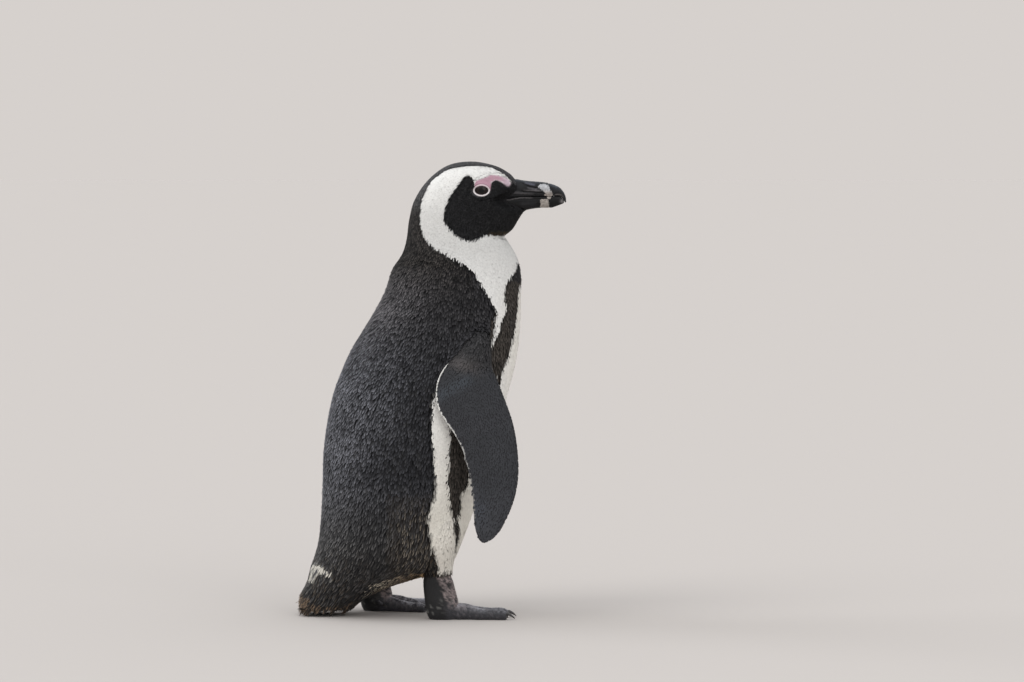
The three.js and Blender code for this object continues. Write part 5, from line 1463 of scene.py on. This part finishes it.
# --- tail: stiff narrow feathers under the coverts, in two layers
r3 = np.random.default_rng(77)
tail_root, tail_dir, tail_nrm, tail_len, tail_wid, tail_uv = [], [], [], [], [], []
for layer, (count, s_from, spread) in enumerate(((9, 2.7, 1.05), (8, 2.3, .92), (7, 1.9, .8))):
    for k in range(count):
        a0 = (k / (count - 1) - .5) * 2 * spread
        s0 = s_from + .25 * abs(a0) + r3.uniform(-.1, .1)
        p0 = body_point(s0, a0)
        n0_ = body_normal(np.array([s0]), np.array([a0]))[0]
        p1 = body_point(.12 + .22 * abs(a0), a0 * 1.05)
        d = p1 - p0
        tail_root.append(p0 - n0_ * (1.5 + .55 * layer))
        tail_dir.append(unit(d + np.array([r3.normal(0, .8), 0, 0])))
        tail_nrm.append(n0_)
        tail_len.append(np.linalg.norm(d) * r3.uniform(.60, .76))
        tail_wid.append(r3.uniform(4.0, 5.2))
        tail_uv.append([.5 + a0 / 6.3, s0 + layer * .3])
TR, TD, TN = np.array(tail_root), np.array(tail_dir), np.array(tail_nrm)
TD = face_in(TD, TN)
VANE_STIFF = (np.array([.10, .30, .55, .78, .92]), np.array([.6, .8, .9, 1.0, 1.0]), np.array([.7, 1.0, 1.0, .72, .40]), np.array([0, .1, .35, .8, 1.0]))
tl = len(TR)
tip_t = np.array([.20, .15, .11])[None] * r3.uniform(.35, 1.1, (tl, 1))
build_vanes("tail_feathers", TR, TD, TN, np.array(tail_len), np.array(tail_wid), np.full(tl, 1.0), np.tile([.012, .011, .011], (tl, 1)), tip_t,
            np.array(tail_uv), np.full(tl, .9) + r3.uniform(0, 1.2, tl), MAT_COAT, VANE_STIFF, seed=78, edge=np.full(tl, .7), camber=.12)

# --- a thin tawny fringe along the lower edge of the rump, between tail and legs
fs, fa = [], []
r4 = np.random.default_rng(91)
S2 = r4.uniform(2.6, 9.2, 26000)
A2 = r4.uniform(0, 2 * math.pi, 26000)
N2 = body_normal(S2, A2)
P2 = body_point(S2, A2)
take = (N2[:, 2] < -.84) & (N2[:, 2] > -.99) & (P2[:, 2] < 52) & (P2[:, 2] > 9) & (np.abs(P2[:, 0]) > 9) & (P2[:, 1] < 24)
S2, A2, N2, P2 = S2[take][:3600], A2[take][:3600], N2[take][:3600], P2[take][:3600]
D2 = np.interp(S2, ROWS, DEPTH)
cnt = len(S2)
t2 = np.stack([r4.normal(0, .10, cnt) + .12 * np.sign(P2[:, 0]), -.42 + r4.normal(0, .12, cnt), -np.ones(cnt)], -1)
t2 = unit(unit(t2) * .75 + face_in(t2, N2) * .6)
pale_gold = np.array([.88, .790, .640])
gold = pale_gold[None] + (np.array([.42, .290, .170]) - pale_gold)[None] * step(-34, 6, P2[:, 1])[:, None]
gold = gold * r4.uniform(.6, 1.12, (cnt, 1))
build_vanes("fringe", P2 - N2 * D2[:, None], t2, N2, r4.uniform(7.0, 10.5, cnt), r4.uniform(.7, 1.2, cnt), D2 * .95, gold * .72, gold,
            np.stack([A2 / (2 * math.pi), S2], 1), np.zeros(cnt), MAT_COAT, VANE_SHORT, seed=92, follow=False)

# --- spiky ends round the tail: narrow stiff feathers that stand off its end and lower edge
r5 = np.random.default_rng(95)
S5, A5 = r5.uniform(.25, 4.4, 9000), r5.uniform(0, 2 * math.pi, 9000)
N5, P5 = body_normal(S5, A5), body_point(S5, A5)
back_side = (N5[:, 1] < -.55) & (S5 < 2.6) & (P5[:, 2] < 34)
low_side = (P5[:, 2] < 21) & (P5[:, 1] > -116) & (S5 < 4.2)
pick5 = (back_side & (r5.random(9000) < .22)) | (low_side & (r5.random(9000) < .96))
S5, A5, N5, P5, back_side = S5[pick5], A5[pick5], N5[pick5], P5[pick5], back_side[pick5]
cnt = len(S5)
t5 = np.stack([r5.normal(0, .12, cnt), np.interp(P5[:, 1], [-118, -95, -70], [-.70, -.72, -.45]) + r5.normal(0, .16, cnt), -np.ones(cnt)], -1)
t5 = np.where(back_side[:, None], unit(face_in(unit(t5), N5) * .8 + unit(t5) * .35), unit(t5))
start5 = P5 - N5 * np.interp(S5, ROWS, DEPTH)[:, None]
start5[:, 2] = np.maximum(start5[:, 2], 10.8)
l5 = np.maximum(start5[:, 2] - 4, 1) / np.maximum(-t5[:, 2], .2)
l5 = (start5[:, 2] - ragged(start5[:, 1] + t5[:, 1] * l5, start5[:, 0]) - r5.exponential(.5, cnt)) / np.maximum(-t5[:, 2], .2)
l5 = np.minimum(l5, (start5[:, 1] + 121.3 + r5.uniform(-1.5, 2.5, cnt)) / np.maximum(-t5[:, 1], .1))
l5 = np.maximum(np.minimum(np.where(back_side, r5.uniform(5, 10, cnt), r5.uniform(8, 17, cnt)), l5), 2.2)
tawny = (r5.random(cnt) < np.where(back_side & (P5[:, 2] < 26), .80, .22))[:, None]
c5 = np.where(tawny, np.array([.27, .190, .130]) * r5.uniform(.4, 1.25, (cnt, 1)), np.array([.040, .036, .033]) * r5.uniform(.3, 1.6, (cnt, 1)))
build_vanes("tail_spikes", start5, t5, N5, l5, r5.uniform(.8, 1.4, cnt), np.interp(S5, ROWS, DEPTH) * 1.0,
            np.tile([.013, .012, .012], (cnt, 1)), c5, np.stack([A5 / (2 * math.pi), S5], 1), r5.uniform(.1, 1.3, cnt), MAT_COAT, VANE_SHORT,
            seed=96, follow=False, edge=np.full(cnt, .6))

# ------------------------------------------------------------------- stage
floor = bpy.data.meshes.new("floor")
floor.from_pydata([(-14, -14, 0), (14, -14, 0), (14, 14, 0), (-14, 14, 0)], [], [(0, 1, 2, 3)])
floor_o = bpy.data.objects.new("floor", floor)
bpy.context.scene.collection.objects.link(floor_o)
m, nt, bsdf = material("floor")
bsdf.inputs["Base Color"].default_value = (.463, .434, .413, 1)
bsdf.inputs["Roughness"].default_value = .9
bsdf.inputs["Specular IOR Level"].default_value = 0
floor.materials.append(m)

world = bpy.data.worlds.new("studio")
bpy.context.scene.world = world
world.use_nodes = True
wn = world.node_tree
bg = wn.nodes["Background"]
tc = wn.nodes.new("ShaderNodeTexCoord")
sep = wn.nodes.new("ShaderNodeSeparateXYZ")
wn.links.new(tc.outputs["Generated"], sep.inputs[0])
mr = node(wn, "ShaderNodeMapRange", From_Min=.0, From_Max=.75, To_Min=.0, To_Max=1.0)
mr.interpolation_type = "SMOOTHSTEP"
wn.links.new(sep.outputs["Z"], mr.inputs["Value"])
sky = wn.nodes.new("ShaderNodeMixRGB")
sky.inputs["Color1"].default_value = (.673, .6363, .612, 1)
sky.inputs["Color2"].default_value = (1.146, 1.170, 1.200, 1)
wn.links.new(mr.outputs["Result"], sky.inputs["Fac"])
wn.links.new(sky.outputs["Color"], bg.inputs["Color"])
bg.inputs["Strength"].default_value = 1.0


def soft_light(name, toward, angle, strength, colour):
    """A wide, soft light from far away, so the floor is lit evenly."""
    d = bpy.data.lights.new(name, "SUN")
    d.angle = math.radians(angle)
    d.energy, d.color = strength, colour
    o = bpy.data.objects.new(name, d)
    bpy.context.scene.collection.objects.link(o)
    p, q = Vector(W(toward)), Vector(W((0, 0, 0)))
    o.location = p
    o.rotation_mode = "QUATERNION"
    o.rotation_quaternion = (q - p).to_track_quat("-Z", "Y")
    return o


soft_light("key", (-1700, -2600, 3070), 35, .90, (1, .985, .96))
soft_light("back", (900, -2600, 1270), 36, 1.04, (.97, .985, 1))
soft_light("fill", (-2600, 1700, 1170), 39, .463, (1, .99, .98))

scene = bpy.context.scene
scene.view_settings.view_transform = "Standard"
scene.view_settings.look = "None"

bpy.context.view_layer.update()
print("done", round(time.time() - T0, 1))
